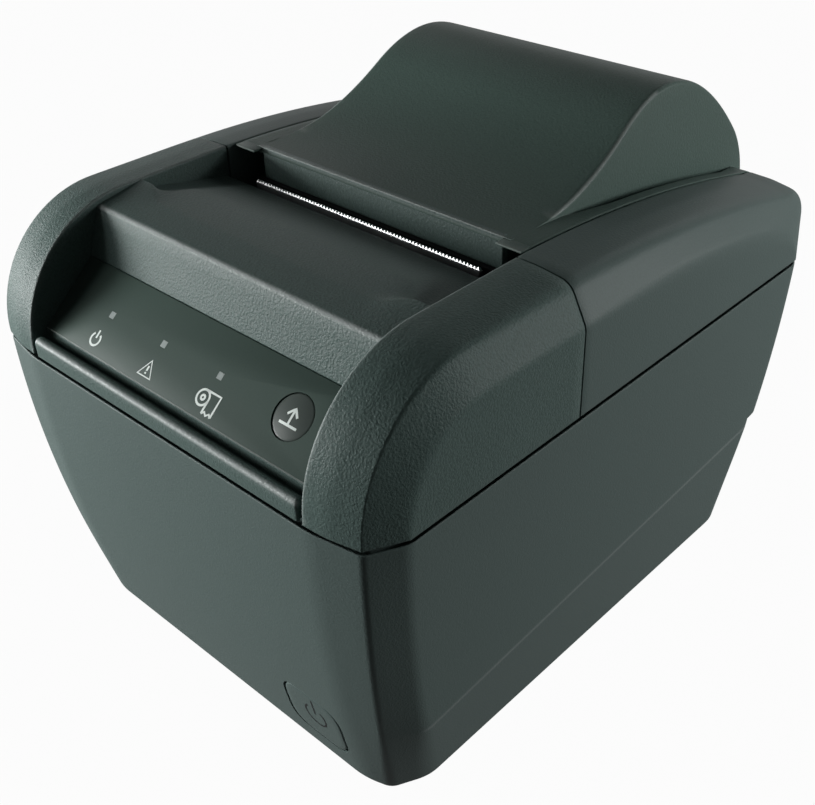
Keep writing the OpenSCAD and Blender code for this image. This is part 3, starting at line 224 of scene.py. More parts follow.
def plastic(name, tone, grain, depth, rough, mottle=0.06, gloss=0.12):
    """Moulded plastic: tone is its colour, grain and depth the size and height of its texture in mm. Where
    the mesh's highlight attribute is high, a highlight is painted in a lighter colour, and the finish is
    smoother."""
    look = Look(name)
    where = look.place()
    cloud = look.noise(where, 14, Detail=3)
    speck = look.noise(where, 1000 / grain, Detail=2, Roughness=0.6)
    pits = look.make("TexVoronoi", {"Vector": where, "Scale": 800 / grain}, {"feature": "SMOOTH_F1"})
    grit = (speck - 0.5) * 2.4 + 0.5
    shade = look.blend(cloud * 0.4 + grit * 0.6, grey(1 - mottle, tone), grey(1 + mottle, tone))
    # Painted highlight: a lighter colour where the mesh's highlight attribute is high
    rubbed = look.make("Attribute", None, {"attribute_name": "rubbed"}, out="Fac")
    shade = look.blend(rubbed * (speck * 0.5 + 0.7), shade, tuple(HIGHLIGHT_TONE + c for c in tone) + (1,))
    bump = look.make("Bump", {"Height": speck + pits * 0.4, "Distance": depth * MM})
    dull = cloud * 0.08 + speck * 0.1 + (rough - 0.09) - rubbed * HIGHLIGHT_SMOOTHING
    look.surface({"Base Color": shade, "Roughness": dull, "Normal": bump, "Specular IOR Level": gloss})
    return look.owner


def paint_highlight(target, path, reach, amount):
    """Paints a highlight on a piece within reach mm of a line of points, by up to amount on the line itself.
    """
    mesh = target.data
    layer = mesh.attributes.get("rubbed") or mesh.attributes.new("rubbed", "FLOAT", "POINT")
    where = np.array([v.co for v in mesh.vertices]) / MM
    painted_before = np.array([point.value for point in layer.data])
    near = np.full(len(where), np.inf)
    path = np.array(path, float)
    for a, b in zip(path[:-1], path[1:]):
        run = b - a
        share = np.clip((where - a) @ run / (run @ run), 0, 1)
        near = np.minimum(near, np.linalg.norm(where - a - share[:, None] * run, axis=1))
    close = np.clip(1 - near / reach, 0, 1)
    layer.data.foreach_set("value", np.maximum(painted_before, amount * close * close * (3 - 2 * close)))


def put_mesh(mesh, work, finish):
    """Puts the worked mesh in the scene, smooth and in its finish."""
    for face in work.faces:
        face.smooth = True
    work.to_mesh(mesh)
    work.free()
    if finish:
        mesh.materials.append(finish)
    return put(mesh.name, mesh)


def piece(name, points, faces, finish=None):
    """A closed or open shell from points in mm."""
    mesh = bpy.data.meshes.new(name)
    mesh.from_pydata([tuple(float(c) * MM for c in p) for p in points], [], faces)
    work = bmesh.new()
    work.from_mesh(mesh)
    bmesh.ops.remove_doubles(work, verts=work.verts, dist=SAME_POINT)
    bmesh.ops.dissolve_degenerate(work, dist=NO_LENGTH, edges=work.edges)
    bmesh.ops.recalc_face_normals(work, faces=work.faces)
    return put_mesh(mesh, work, finish)


def crisp(target, degrees):
    """Shades edges that turn by more than this as edges, and the rest as one smooth surface."""
    target.data.set_sharp_from_angle(angle=math.radians(degrees))


def loops(rings, close_ring=True, close_all=False):
    """Faces over rings of equally many points."""
    count, wide = len(rings), len(rings[0])
    faces = []
    for i in range(count if close_all else count - 1):
        this, following = i * wide, (i + 1) % count * wide
        for j in range(wide if close_ring else wide - 1):
            k = (j + 1) % wide
            faces.append((this + j, this + k, following + k, following + j))
    return [p for ring in rings for p in ring], faces


def capped(rings):
    """Faces over rings, with a flat face over the first and the last."""
    points, faces = loops(rings)
    wide = len(rings[0])
    return points, faces + [tuple(range(wide)), tuple(range(len(points) - wide, len(points)))]


def soften(corners, radii, arc, edge, closed=True):
    """Rounds a line's corners. Each gets arc steps, and each straight edge steps, whatever its shape."""
    corners = [np.array(c, float) for c in corners]
    count, made, starts = len(corners), [], []
    for i, (corner, radius) in enumerate(zip(corners, radii)):
        if not closed and i in (0, count - 1):
            starts.append((corner, corner, corner))
            continue
        before, after = corners[i - 1], corners[(i + 1) % count]
        lead, leave = before - corner, after - corner
        room = min(np.linalg.norm(lead), np.linalg.norm(leave)) * CORNER_SHARE
        lead /= np.linalg.norm(lead) + TINY
        leave /= np.linalg.norm(leave) + TINY
        half = math.acos(float(np.clip(lead @ leave, -1, 1))) / 2
        back_off = min(radius / max(math.tan(half), SHARPEST), room)
        starts.append((corner + lead * back_off, corner, corner + leave * back_off))
    edges = edge if isinstance(edge, list) else [edge] * count
    for i, (a, corner, b) in enumerate(starts):
        if not closed and i in (0, count - 1):
            made.append(corner)
        else:
            for k in range(arc + 1):
                t = k / arc
                made.append((1 - t) ** 2 * a + 2 * t * (1 - t) * corner + t * t * b)
        if closed or i < count - 1:
            following = starts[(i + 1) % count][0]
            made += [b + (following - b) * k / edges[i] for k in range(1, edges[i])]
    return made


def step(x):
    """Rises softly from 0 at 0 to 1 at 1."""
    x = min(1, max(0, x))
    return x * x * (3 - 2 * x)


def tucked(z, total, span):
    return total * (max(0, SEAM_Z - z) / span) ** 2


def front_at(z):
    return -CASE_D + tucked(z, FRONT_TUCK, SEAM_Z)


def rear_at(z):
    under = step((RECESS_Z + LEDGE / 2 - z) / LEDGE)
    deep = RECESS_D + RECESS_DRAFT * max(0, RECESS_Z - z)
    return CASE_D - tucked(max(z, RECESS_Z), REAR_TUCK, SEAM_Z - RECESS_Z) - under * deep


def crease_at(y):
    return CREASE_Z + CREASE_RISE * (y + CASE_D) / (2 * CASE_D)


def side_at(y, z):
    """Half the width of the case: the drafted wall, and below the softened crease the skirt."""
    crease = crease_at(y)
    wall = CASE_W - SIDE_DRAFT * (SEAM_Z - z)
    at_crease = CASE_W - SIDE_DRAFT * (SEAM_Z - crease)
    skirt = SKIRT_FOOT + (at_crease - SKIRT_FOOT) * z / crease
    gap = max(CREASE_SOFT - abs(wall - skirt), 0) / CREASE_SOFT
    return min(wall, skirt) - gap * gap * CREASE_SOFT / 4


def case_ring(z, inset):
    """One level line round the case, inset mm within its outside."""
    fy, ry = front_at(z) + inset, rear_at(z) - inset
    cx = CREASE_X - CORNER_TUCK * tucked(z, FRONT_TUCK, SEAM_Z) - inset / 2
    y0, y1 = fy + CROWN + FACET_Y, ry - CROWN - FACET_Y
    half = [(FLAT_X, fy), (cx, fy + CROWN), (side_at(y0, z) - inset, y0),
            (side_at(y1, z) - inset, y1), (cx, ry - CROWN), (FLAT_X, ry)]
    low = step((FOOT_FROM - z) / FOOT_FADE)
    radii = [r + more * low for r, more in zip(CORNER_R, FOOT_R)]
    ring = soften(half + [(-x, y) for x, y in reversed(half)], radii + radii[::-1], ARC,
                  [3, 3, SIDE_STEPS, 3, 3, END_STEPS] * 2)
    return [(math.copysign(side_at(y, z) - inset, x) if y0 + STRAIGHT < y < y1 - STRAIGHT else x, y, z)
            for x, y in ring]


# Levels and insets outside, from the broken edge at the top to that at the foot, closer at the recess
TOP = SEAM_Z - SEAM_GAP
rows = [(TOP, 0.3), (TOP - 0.05, 0.15), (TOP - 0.2, 0.03), (TOP - 0.5, 0)]
rows += [(z, 0) for z in np.arange(TOP - 2, 46, -2)]
rows += [(z, 0) for z in np.arange(45, 20, -0.5) if abs(z - RECESS_Z) > LEDGE]
rows += [(RECESS_Z + d, 0) for d in (0.45, 0.3, 0.15, 0, -0.15, -0.3, -0.45)]
rows += [(z, 0) for z in np.arange(19, 2.4, -1.5)] + [(1.9, 0), (1.35, 0.2), (FOOT_GAP, 0.7)]
rows.sort(key=lambda row: -row[0])
# Inside, then the tongue that stands up behind the parting line, and the groove outside it
TONGUE_IN, TONGUE_TOP, GROOVE_Z, GROOVE_IN = WALL + 0.6, SEAM_Z + SEAM_GAP + 0.2, TOP - 1.8, 0.5
rows += [(z, WALL) for z in (FOOT_GAP, 4, 20, 41, 43.5, 60, 80, GROOVE_Z - 2)]
rows += [(GROOVE_Z - 1, TONGUE_IN), (TONGUE_TOP, TONGUE_IN), (TONGUE_TOP, WALL), (GROOVE_Z, WALL),
         (GROOVE_Z, GROOVE_IN)]
case_plastic = plastic("case_plastic", (0.072, 0.100, 0.094), 0.5, 0.07, 0.48, 0.12, 0.11)
case_rings = [case_ring(*row) for row in rows]
lower_case = piece("lower_case_shell", *loops(case_rings, close_all=True), case_plastic)


def block(name, low, high, finish=None, soft=0):
    """A moulded block between two corners in mm, with rounded edges."""
    work = bmesh.new()
    bmesh.ops.create_cube(work, size=1)
    for v in work.verts:
        v.co = Vector([(low[k] + (v.co[k] + 0.5) * (high[k] - low[k])) * MM for k in range(3)])
    if soft:
        bmesh.ops.bevel(work, geom=work.edges[:], offset=soft * MM, segments=3, profile=0.5, affect="EDGES")
    return put_mesh(bpy.data.meshes.new(name), work, finish)


def freeze(target):
    """Makes a piece's modifiers part of its mesh."""
    bpy.context.view_layer.update()
    ready = target.evaluated_get(bpy.context.evaluated_depsgraph_get())
    mesh = bpy.data.meshes.new_from_object(ready)
    target.modifiers.clear()
    target.data = mesh


def cut(target, *tools):
    """Cuts the tools out of the target."""
    for tool in tools:
        modifier = target.modifiers.new("cut", "BOOLEAN")
        modifier.operation, modifier.object, modifier.solver = "DIFFERENCE", tool, "EXACT"
    freeze(target)
    for tool in tools:
        bpy.data.objects.remove(tool)


def merge(name, *parts):
    """Joins pieces into the first one."""
    with bpy.context.temp_override(active_object=parts[0], selected_editable_objects=list(parts)):
        bpy.ops.object.join()
    parts[0].name = parts[0].data.name = name
    return parts[0]


def prism(name, outline, low, high, axis="Y"):
    """An outline pushed along an axis, in mm. The outline is (x, z) along Y, and (y, z) along X."""
    return piece(name, *capped([[(a, place, b) if axis == "Y" else (place, a, b) for a, b in outline]
                                for place in (low, high)]))


KEY_X, KEY_Z, KEY_W, KEY_H, KEY_R, KEY_ROOM, KEY_WELL = 40.4, 17.6, 21.4, 18.6, 6.5, (0.25, 0.1), 16
PORTS_X, PORTS_Y, PORTS_Z, OVER = 54, 76, 6, 2


def key_outline(grow_x, grow_z):
    w, h = KEY_W / 2 + grow_x, KEY_H / 2 + grow_z
    corners = [(KEY_X + a * w, KEY_Z + b * h) for a, b in ((-1, -1), (1, -1), (1, 1), (-1, 1))]
    return [tuple(p) for p in soften(corners, [KEY_R] * 4, 10, 4)]


cut(lower_case,
    prism("key_cutter", key_outline(*KEY_ROOM), -CASE_D - OVER, -CASE_D + KEY_WELL),
    block("port_cutter", (-PORTS_X, PORTS_Y, PORTS_Z), (PORTS_X, CASE_D + OVER, RECESS_Z - PORTS_Z)))
crisp(lower_case, 40)
# Painted highlight along the crease between each side wall and its skirt
for side in (-1, 1):
    crease = [(side * side_at(y, crease_at(y)), y, crease_at(y))
              for y in np.linspace(-CASE_D + 14, CASE_D - 16, 9)]
    paint_highlight(lower_case, crease, reach=0.9, amount=0.3)
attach(lower_case, "printer")
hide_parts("lower_case")

# ---------------- power button
# A large rocker of the same plastic let into the front, flush with it, with the
# usual on/off sign engraved and inked.
KEY_GAP = (-0.42, -0.02)
# How much of the outline each ring takes, and how proud of the case it stands
KEY_RINGS = ((1, -4), (1, -0.35), (0.985, -0.08), (0.96, 0), (0.8, 0.02), (0.5, 0.02), (0.2, 0.02))
SIGN_X, SIGN_Z, SIGN_R, SIGN_W, SIGN_GAP, SIGN_PROUD = 41, 18.9, 3.7, 0.62, 38, 0.06


def on_front(x, z, proud):
    """The point of the tucked front face at (x, z), proud of it in mm."""
    lean = 2 * FRONT_TUCK * (SEAM_Z - z) / SEAM_Z ** 2
    size = math.hypot(1, lean)
    return (x, front_at(z) - proud / size, z - proud * lean / size)


key_rings = [[on_front(KEY_X + (x - KEY_X) * scale, KEY_Z + (z - KEY_Z) * scale, proud)
              for x, z in key_outline(*KEY_GAP)] for scale, proud in KEY_RINGS]
power_key = piece("power_key", *capped(key_rings), case_plastic)
crisp(power_key, 50)
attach(power_key, "power_key")
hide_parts("power_button")


def ribbon(name, path, width, place, finish, closed=False):
    """A flat printed line, width mm wide, along (x, z) points laid out by place()."""
    count = len(path)
    left_side, right_side = [], []
    for i, (x, z) in enumerate(path):
        a = path[(i - 1) % count] if closed else path[max(i - 1, 0)]
        b = path[(i + 1) % count] if closed else path[min(i + 1, count - 1)]
        along = Vector((b[0] - a[0], b[1] - a[1])).normalized() * width / 2
        left_side.append(place(x - along.y, z + along.x))
        right_side.append(place(x + along.y, z - along.x))
    return piece(name, *loops([left_side, right_side], close_ring=closed), finish)


def bow(cx, cz, radius, start, stop):
    """Points along part of a circle, in degrees clockwise from its top."""
    turns = [math.radians(start + (stop - start) * i / 24) for i in range(25)]
    return [(cx + radius * math.sin(a), cz + radius * math.cos(a)) for a in turns]


def on_key(x, z):
    return on_front(x, z, SIGN_PROUD)


ink_dark = plastic("ink_dark", (0.012, 0.014, 0.014), 0.3, 0.004, 0.5)
power_sign = merge(
    "power_sign",
    ribbon("sign_ring", bow(SIGN_X, SIGN_Z, SIGN_R, SIGN_GAP, 360 - SIGN_GAP), SIGN_W, on_key, ink_dark),
    ribbon("sign_bar", [(SIGN_X, SIGN_Z + 0.6 + i) for i in range(7)], SIGN_W, on_key, ink_dark))
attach(power_sign, "power_key")

# ---------------- front cover
# The hood over the mechanism: two rounded arms with a bevel along their outer edge,
# and between them the lip, the sloping panel seat, the riser and the deck. The same
# plastic with a coarse spark-eroded grain.
# The arms seen from the side: a quarter round shoulder, then a long slope from SLOPE_Y on
TOP_Z, SHOULDER_R, SLOPE_R, SLOPE_Y = 130.3, 35.3, 450, -31.7
SHOULDER_Y, SHOULDER_Z = SHOULDER_R - CASE_D, TOP_Z - SHOULDER_R
CREASE_DROP, BEVEL_H, SPLIT_Y, SPLIT_GAP, BAY_X, LOW = 1.3, 10.8, -23.2, 0.58, 52.3, SEAM_Z + SEAM_GAP
SIDE_TOP, SIDE_FALL = TOP_Z - BEVEL_H, 1
SIDE_START, SIDE_TURN, SIDE_END = -CASE_D + CROWN + FACET_Y, -2, CASE_D - CROWN - FACET_Y
# How an arm is crowned across, and its radii at the inner edge, the crown, the crease and the bevel's foot
CROWN_AT, CROWN_FALL, INNER_R, CROWN_R = 0.45, 0.15, 0.8, 30
SHARP_R, CREASE_R, BEVEL_R, BEVEL_MORE = 0.7, 4.8, 4, 2
SHOULDER_STEPS, SLOPE_STEPS, SHOULDER_TURN, FOOT_STEP, ARM_WALL = 28, 10, 0.7, 0.5, 2


def slope_z(y):
    """Height of the arms' tops: level, then falling in a long curve to the rear."""
    return TOP_Z - SLOPE_R + math.sqrt(SLOPE_R ** 2 - max(0, y - SLOPE_Y) ** 2)


def side_line(y):
    """Top of the flat side of the covers: level, then a quarter ellipse down to the parting line."""
    if y < SIDE_TURN:
        return SIDE_TOP - SIDE_FALL * max(0, y - SHOULDER_Y) / (SIDE_TURN - SHOULDER_Y)
    share = (y - SIDE_TURN) / (SIDE_END - SIDE_TURN)
    return SEAM_Z + (SIDE_TOP - SIDE_FALL - SEAM_Z) * math.sqrt(max(0, 1 - share * share))


def arm_section(a, b, c, turn, inner_x, inner_foot, side_foot):
    """One section across an arm: inner wall, crowned top, crease, bevel, side. a, b and c are (y, z) on its
    three lines. turn is how far the crease has softened, 0 at the foot to 1 on top. The feet are y on the
    parting line."""
    crown = [u + (v - u) * CROWN_FALL for u, v in zip(a, b)]
    corners = [(inner_x, inner_foot, LOW), (inner_x, *a), (inner_x + (CREASE_X - inner_x) * CROWN_AT, *crown),
               (CREASE_X, *b), (CASE_W, *c), (CASE_W, side_foot, LOW)]
    radii = [0, INNER_R, CROWN_R, SHARP_R + CREASE_R * turn ** 2, BEVEL_R + BEVEL_MORE * turn, 0]
    return soften(corners, radii, 6, [6, 3, 2, 3, 6, 1], closed=False)


def front_sections():
    """The sections of a front arm, from its foot over the shoulder to the split: a, b, c and turn of each."""
    made = [((-CASE_D, LOW), (-CASE_D + CROWN, LOW), (SIDE_START, LOW), 0)]
    for i in range(SHOULDER_STEPS + 1):
        angle = math.radians(180 - 90 * i / SHOULDER_STEPS)
        c, s = math.cos(angle), math.sin(angle)
        made.append(((SHOULDER_Y + SHOULDER_R * c, SHOULDER_Z + SHOULDER_R * s),
                     (SHOULDER_Y + (SHOULDER_R - CROWN) * c, SHOULDER_Z + (SHOULDER_R - CREASE_DROP) * s),
                     (SHOULDER_Y + (SHOULDER_Y - SIDE_START) * c, SHOULDER_Z + (SIDE_TOP - SHOULDER_Z) * s),
                     SHOULDER_TURN * i / SHOULDER_STEPS))
    last = SPLIT_Y - SPLIT_GAP / 2
    for i in range(1, SLOPE_STEPS + 1):
        y = SHOULDER_Y + (last - SHOULDER_Y) * i / SLOPE_STEPS
        made.append(((y, slope_z(y)), (y, slope_z(y) - CREASE_DROP), (y, side_line(y)),
                     SHOULDER_TURN + (1 - SHOULDER_TURN) * i / SLOPE_STEPS))
    return made


def feet_of(lines):
    """Where an arm's sections stand: below their tops, but spread out where it comes down to its foot."""
    ys = [line[0] for line in lines]
    if lines[0][1] == LOW:
        return [max(y, ys[0] + FOOT_STEP * (i + 1)) for i, y in enumerate(ys)]
    return [min(y, ys[-1] - FOOT_STEP * (len(ys) - i)) for i, y in enumerate(ys)]


def shell(made, wall, soft):
    """Gives a skin its wall, inwards, and breaks the wall's edges."""
    thick = made.modifiers.new("wall", "SOLIDIFY")
    thick.thickness, thick.offset = wall * MM, -1
    broken = made.modifiers.new("edge", "BEVEL")
    broken.width, broken.segments, broken.limit_method = soft * MM, 2, "ANGLE"
    broken.angle_limit = math.radians(50)
    freeze(made)
    return made


def arm(name, sections, inner_x, side, finish):
    """One arm from its sections, on the right for side 1 and the left for -1."""
    feet = zip(feet_of([a for a, b, c, turn in sections]), feet_of([c for a, b, c, turn in sections]))
    rings = [[(side * x, y, z) for x, y, z in arm_section(*section, inner_x, *foot)]
             for section, foot in zip(sections, feet)]
    return shell(piece(name, *loops(rings, close_ring=False), finish), ARM_WALL, 0.12)


front_plastic = plastic("front_plastic", (0.065, 0.097, 0.089), 0.55, 0.17, 0.44, 0.26, 0.08)
front_parts = [arm("front_arm_right", front_sections(), BAY_X, 1, front_plastic),
               arm("front_arm_left", front_sections(), BAY_X, -1, front_plastic)]

TILT = math.radians(40.5)
PANEL_Y, PANEL_Z, PANEL_LEN, SHEET_T = -89.2, 100.2, 22.8, 0.5
PANEL_FRAME = Matrix.Translation((0, PANEL_Y * MM, PANEL_Z * MM)) @ Matrix.Rotation(TILT, 4, "X")


def on_slope(x, v, proud=0):
    """A point of the control panel: x across, v up the slope, proud above it, in mm."""
    return (x, PANEL_Y + v * math.cos(TILT) - proud * math.sin(TILT),
            PANEL_Z + v * math.sin(TILT) + proud * math.cos(TILT))


# The bay between the arms: the floor behind the lip, the panel's seat, the riser and the ridge, as (y, z)
LIP_TOP = SEAM_Z + 5.9
SEAT_Z = LIP_TOP - 2.6
SEAT_FOOT, SEAT_HEAD = on_slope(0, 0, -SHEET_T)[1:], on_slope(0, PANEL_LEN, -SHEET_T)[1:]
RISER_FOOT = on_slope(0, PANEL_LEN)[1:]
RIDGE_Y, RIDGE_Z = RISER_FOOT[0] + 4.2, RISER_FOOT[1] + 12
RIDGE_END = (RIDGE_Y + 2.4, RIDGE_Z + 1)
seat_line = soften([(-CASE_D + 1.5, SEAT_Z), (SEAT_FOOT[0] - 0.2, SEAT_Z), SEAT_FOOT, SEAT_HEAD, RISER_FOOT,
                    (RIDGE_Y + 0.4, RIDGE_Z + 0.55), RIDGE_END],
                   [0, 0.3, 0.3, 0.3, 0.3, 1.5, 0], 7, 4, closed=False)
BAND_Y, BAND_Z, DECK_Y, DECK_Z, DECK_DOWN = RIDGE_Y + 15.2, TOP_Z - 0.3, -24.1, 121.5, 5
HOLLOW_X, HOLLOW_FADE = 39, 9


def deck_line(x):
    """The deck from the ridge to the tear bar. It dips into a finger hollow beside each arm."""
    dip = step((abs(x) - HOLLOW_X) / HOLLOW_FADE)
    level = 1 - dip
    corners = [RIDGE_END, (BAND_Y - 5 * level, BAND_Z - 1.1 * level),
               (BAND_Y + 0.7 + 7 * level, BAND_Z - 2.6 * dip - 1.8 * level),
               (DECK_Y - 6, DECK_Z + 1.8 - 0.7 * dip), (DECK_Y, DECK_Z), (DECK_Y + 0.2, DECK_Z - DECK_DOWN)]
    return soften(corners, [0, 0.5 + 9 * level, 0.4 + 12 * level, 8, 0.4, 0], 5, 5, closed=False)


COLUMNS = 22
columns = [BAY_X * math.sin(math.radians(90 * i / COLUMNS)) for i in range(-COLUMNS, COLUMNS + 1)]
bay_rings = [[(x, y, z) for y, z in seat_line + deck_line(x)[1:]] for x in columns]
bay_skin = shell(piece("front_bay", *loops(bay_rings, close_ring=False), front_plastic), 1.8, 0.2)

# The lip is a bar with softened ends: how far each ring is from its end, and how far it is drawn in
LIP_X, LIP_END = BAY_X - 1.45, ((0, 0.75), (0.15, 0.35), (0.5, 0.08), (1, 0))
LIP_MID_Y, LIP_H = -92.5, 5
lip_line = soften([(-CASE_D, LOW), (-CASE_D, LIP_TOP - 0.1), (-CASE_D + 2.9, LIP_TOP + 0.1),
                   (-CASE_D + 3.1, LOW + 1)], [0, 1.3, 1.2, 0], 8, 3, closed=False)
lip_rows = [(-LIP_X + away, shrink) for away, shrink in LIP_END]
lip_rows += [(x, 0) for x in np.linspace(-LIP_X + 2, LIP_X - 2, 25)]
lip_rows += [(LIP_X - away, shrink) for away, shrink in reversed(LIP_END)]
lip_rings = [[(x, y + shrink * (0.5 if y < LIP_MID_Y else -0.5), z - shrink * (z - LOW) / LIP_H)
              for y, z in lip_line] for x, shrink in lip_rows]
front_parts += [bay_skin, piece("front_lip", *capped(lip_rings), front_plastic),
                block("front_trough", (-BAY_X, -CASE_D + 2, LOW + 0.1), (BAY_X, -CASE_D + 5.2, LOW + 2.6),
                      front_plastic, 0.1)]

FEED_X, FEED_V, FEED_R, FEED_STEPS, LIGHT_X, LIGHT_W = 36, 11.6, 5.75, 72, (-32.4, -10.8, 10.8), 1.8


def circle(x, y, radius, count):
    turns = [math.tau * i / count for i in range(count)]
    return [(x + radius * math.cos(a), y + radius * math.sin(a)) for a in turns]


def panel_holes(spare, laid=Matrix()):
    """Cutters for the button and the three lights, spare mm larger, laid from the panel's own frame."""
    below, above, half = -5, 2, (LIGHT_W + spare) / 2
    round_hole = prism("round_hole", circle(FEED_X, FEED_V, FEED_R + spare, FEED_STEPS), below, above)
    round_hole.data.transform(Matrix(((1, 0, 0, 0), (0, 0, 1, 0), (0, 1, 0, 0), (0, 0, 0, 1))))
    round_hole.data.flip_normals()
    holes = [round_hole] + [
        block("hole", (x - half, FEED_V - half, below), (x + half, FEED_V + half, above)) for x in LIGHT_X]
    for hole in holes:
        hole.data.transform(laid)
    return holes


cut(bay_skin, *panel_holes(0.12, PANEL_FRAME))
front_cover = merge("front_cover_shell", *front_parts)
crisp(front_cover, 42)
# Painted highlights on the ridge, the inner edges of the arms and the lip, and painted light over the deck
# behind the ridge, all with a smoother finish
paint_highlight(front_cover, [(x, RIDGE_Y + 0.75, RIDGE_Z + 0.35) for x in (-51.5, 51.5)], reach=1.1, amount=1.1)
paint_highlight(front_cover, [(x, -36, 125.3) for x in (-40, 40)], reach=22, amount=0.12)
for side in (-1, 1):
    inner_edge = [(side * (BAY_X + 0.2), *a) for a, b, c, turn in front_sections()[1:]]
    paint_highlight(front_cover, inner_edge, reach=0.8, amount=0.45)
paint_highlight(front_cover, [(x, -CASE_D + 0.35, LIP_TOP - 0.3) for x in (-50.8, 50.8)], reach=1.35, amount=1)
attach(front_cover, "printer")
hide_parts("front_cover")

# ---------------- rear cover
# The back half of the hood: the rest of both arms, running down to the rear, and the
# cross bars that tie them together under the lid. Fine grain.
REAR_R, REAR_ANGLE, REAR_STEPS, ROUND_STEPS = 12, 75.4, 30, 18
REAR_Y, REAR_SIDE_Y, REAR_X, REAR_CROWN, REAR_TURN = CASE_D - REAR_R, 53.9, 52.2, 0.6, 0.4


def rear_sections():
    """The sections of a rear arm, from the split over the slope and round the rear to the parting line."""
    made = []
    first = SPLIT_Y + SPLIT_GAP / 2
    for i in range(REAR_STEPS + 1):
        share = i / REAR_STEPS
        y = first + (REAR_Y - first) * share
        side_y = first + (REAR_SIDE_Y - first) * share
        made.append(((y, slope_z(y)), (y - REAR_CROWN * share, slope_z(y) - CREASE_DROP),
                     (side_y, side_line(side_y)), 1))
    mid_z = slope_z(REAR_Y) - REAR_R
    wide, tall = SIDE_END - SIDE_TURN, SIDE_TOP - SIDE_FALL - SEAM_Z
    for i in range(1, ROUND_STEPS + 1):
        angle = math.radians(REAR_ANGLE * (1 - i / ROUND_STEPS))
        c, s = math.cos(angle), math.sin(angle)
        on_side = math.atan2(tall * s, wide * c)
        side_z = max(LOW + 0.4, SEAM_Z + tall * math.sin(on_side))
        made.append(((REAR_Y + REAR_R * c, mid_z + REAR_R * s),
                     (REAR_Y + (REAR_R - CROWN) * c, mid_z + (REAR_R - CREASE_DROP) * s),
                     (SIDE_TURN + wide * math.cos(on_side), side_z), 1 - (1 - REAR_TURN) * i / ROUND_STEPS))
    made.append(((CASE_D, LOW), (CASE_D - CROWN, LOW), (SIDE_END, LOW), REAR_TURN))
    return made


rear_cover = merge(
    "rear_cover_shell",
    arm("rear_arm_right", rear_sections(), REAR_X, 1, case_plastic),
    arm("rear_arm_left", rear_sections(), REAR_X, -1, case_plastic),
    block("rear_bar", (-REAR_X - 1, 89.9, LOW), (REAR_X + 1, CASE_D - 0.15, 95.2), case_plastic, 0.5),
    block("middle_bar", (-REAR_X - 1, -3.8, LOW), (REAR_X + 1, 6.6, SEAM_Z + 4), case_plastic, 0.4))
crisp(rear_cover, 42)
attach(rear_cover, "printer")
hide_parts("rear_cover")

# ---------------- lid
# One moulding: a flange level with the arms, a textured front wall with a finger notch
# at each side, and the humped roll housing with a sunk channel along each foot.
LID_X, HUMP_X, LID_FRONT, WALL_Y, EAR_X, LID_WALL = 51.7, 46, -20.5, -17.3, 43.7, 1.6
# The housing seen from the side: a hollow rising into a crest, then a round back
HUMP_TOP, CREST_Y, HOLLOW_LEN, CREST_SHARE, BACK_IN = 149, 50.3, 59.3, 0.34, 6.9
HOLLOW_Y, HOLLOW_Z = CREST_Y - HOLLOW_LEN, TOP_Z - 0.6
BOTH_R = HOLLOW_LEN ** 2 / (2 * (HUMP_TOP - HOLLOW_Z))
CREST_R = CREST_SHARE * BOTH_R
HOLLOW_R = BOTH_R - CREST_R
TURN_Y, BACK_Y = HOLLOW_Y + (1 - CREST_SHARE) * HOLLOW_LEN, CASE_D - BACK_IN
BACK_ANGLE = math.atan((BACK_Y - CREST_Y) / CREST_R)
BACK_R = BACK_IN / (1 - math.sin(BACK_ANGLE))
HINGE_Y, HINGE_Z, BARREL_R = 89.8, 99.8, 4.2
LID_FOOT, FLANGE_FOOT, MAIN_STEPS, BACK_STEPS, FOOT_STEPS = HINGE_Z - 1, 103.7, 64, 14, 3
# Draft of the housing's sides up to DRAFT_H, and the channel with where along the lid it fades in and out
DRAFT, DRAFT_H, CHANNEL_W, CHANNEL_D = 0.084, 26, 1.9, 4.2
CHANNEL_FROM, FADE_IN, CHANNEL_TO, FADE_OUT = 2, 22, 86, 12


def hump_z(y):
    if y < TURN_Y:
        return HOLLOW_Z + (y - HOLLOW_Y) ** 2 / (2 * HOLLOW_R)
    return HUMP_TOP - (y - CREST_Y) ** 2 / (2 * CREST_R)


# Pairs of points (y, z), on the housing's top and on the flange, from the front wall to the foot of the back
lid_lines = []
for i in range(MAIN_STEPS + 1):
    y, flange_y = (WALL_Y + (end - WALL_Y) * (i / MAIN_STEPS) for end in (BACK_Y, REAR_Y))
    lid_lines.append(((y, hump_z(y)), (flange_y, slope_z(flange_y))))
back_z, flange_z = hump_z(BACK_Y) - BACK_R * math.cos(BACK_ANGLE), slope_z(REAR_Y) - REAR_R
for i in range(1, BACK_STEPS + 1):
    share = 1 - i / BACK_STEPS
    high, low = (math.pi / 2 - BACK_ANGLE) * share, math.radians(REAR_ANGLE) * share
    lid_lines.append(((CASE_D - BACK_R + BACK_R * math.cos(high), back_z + BACK_R * math.sin(high)),
                      (REAR_Y + REAR_R * math.cos(low), flange_z + REAR_R * math.sin(low))))
for i in range(1, FOOT_STEPS + 1):
    lid_lines.append(tuple((CASE_D, z + (LID_FOOT - z) * i / FOOT_STEPS) for z in (back_z, FLANGE_FOOT)))


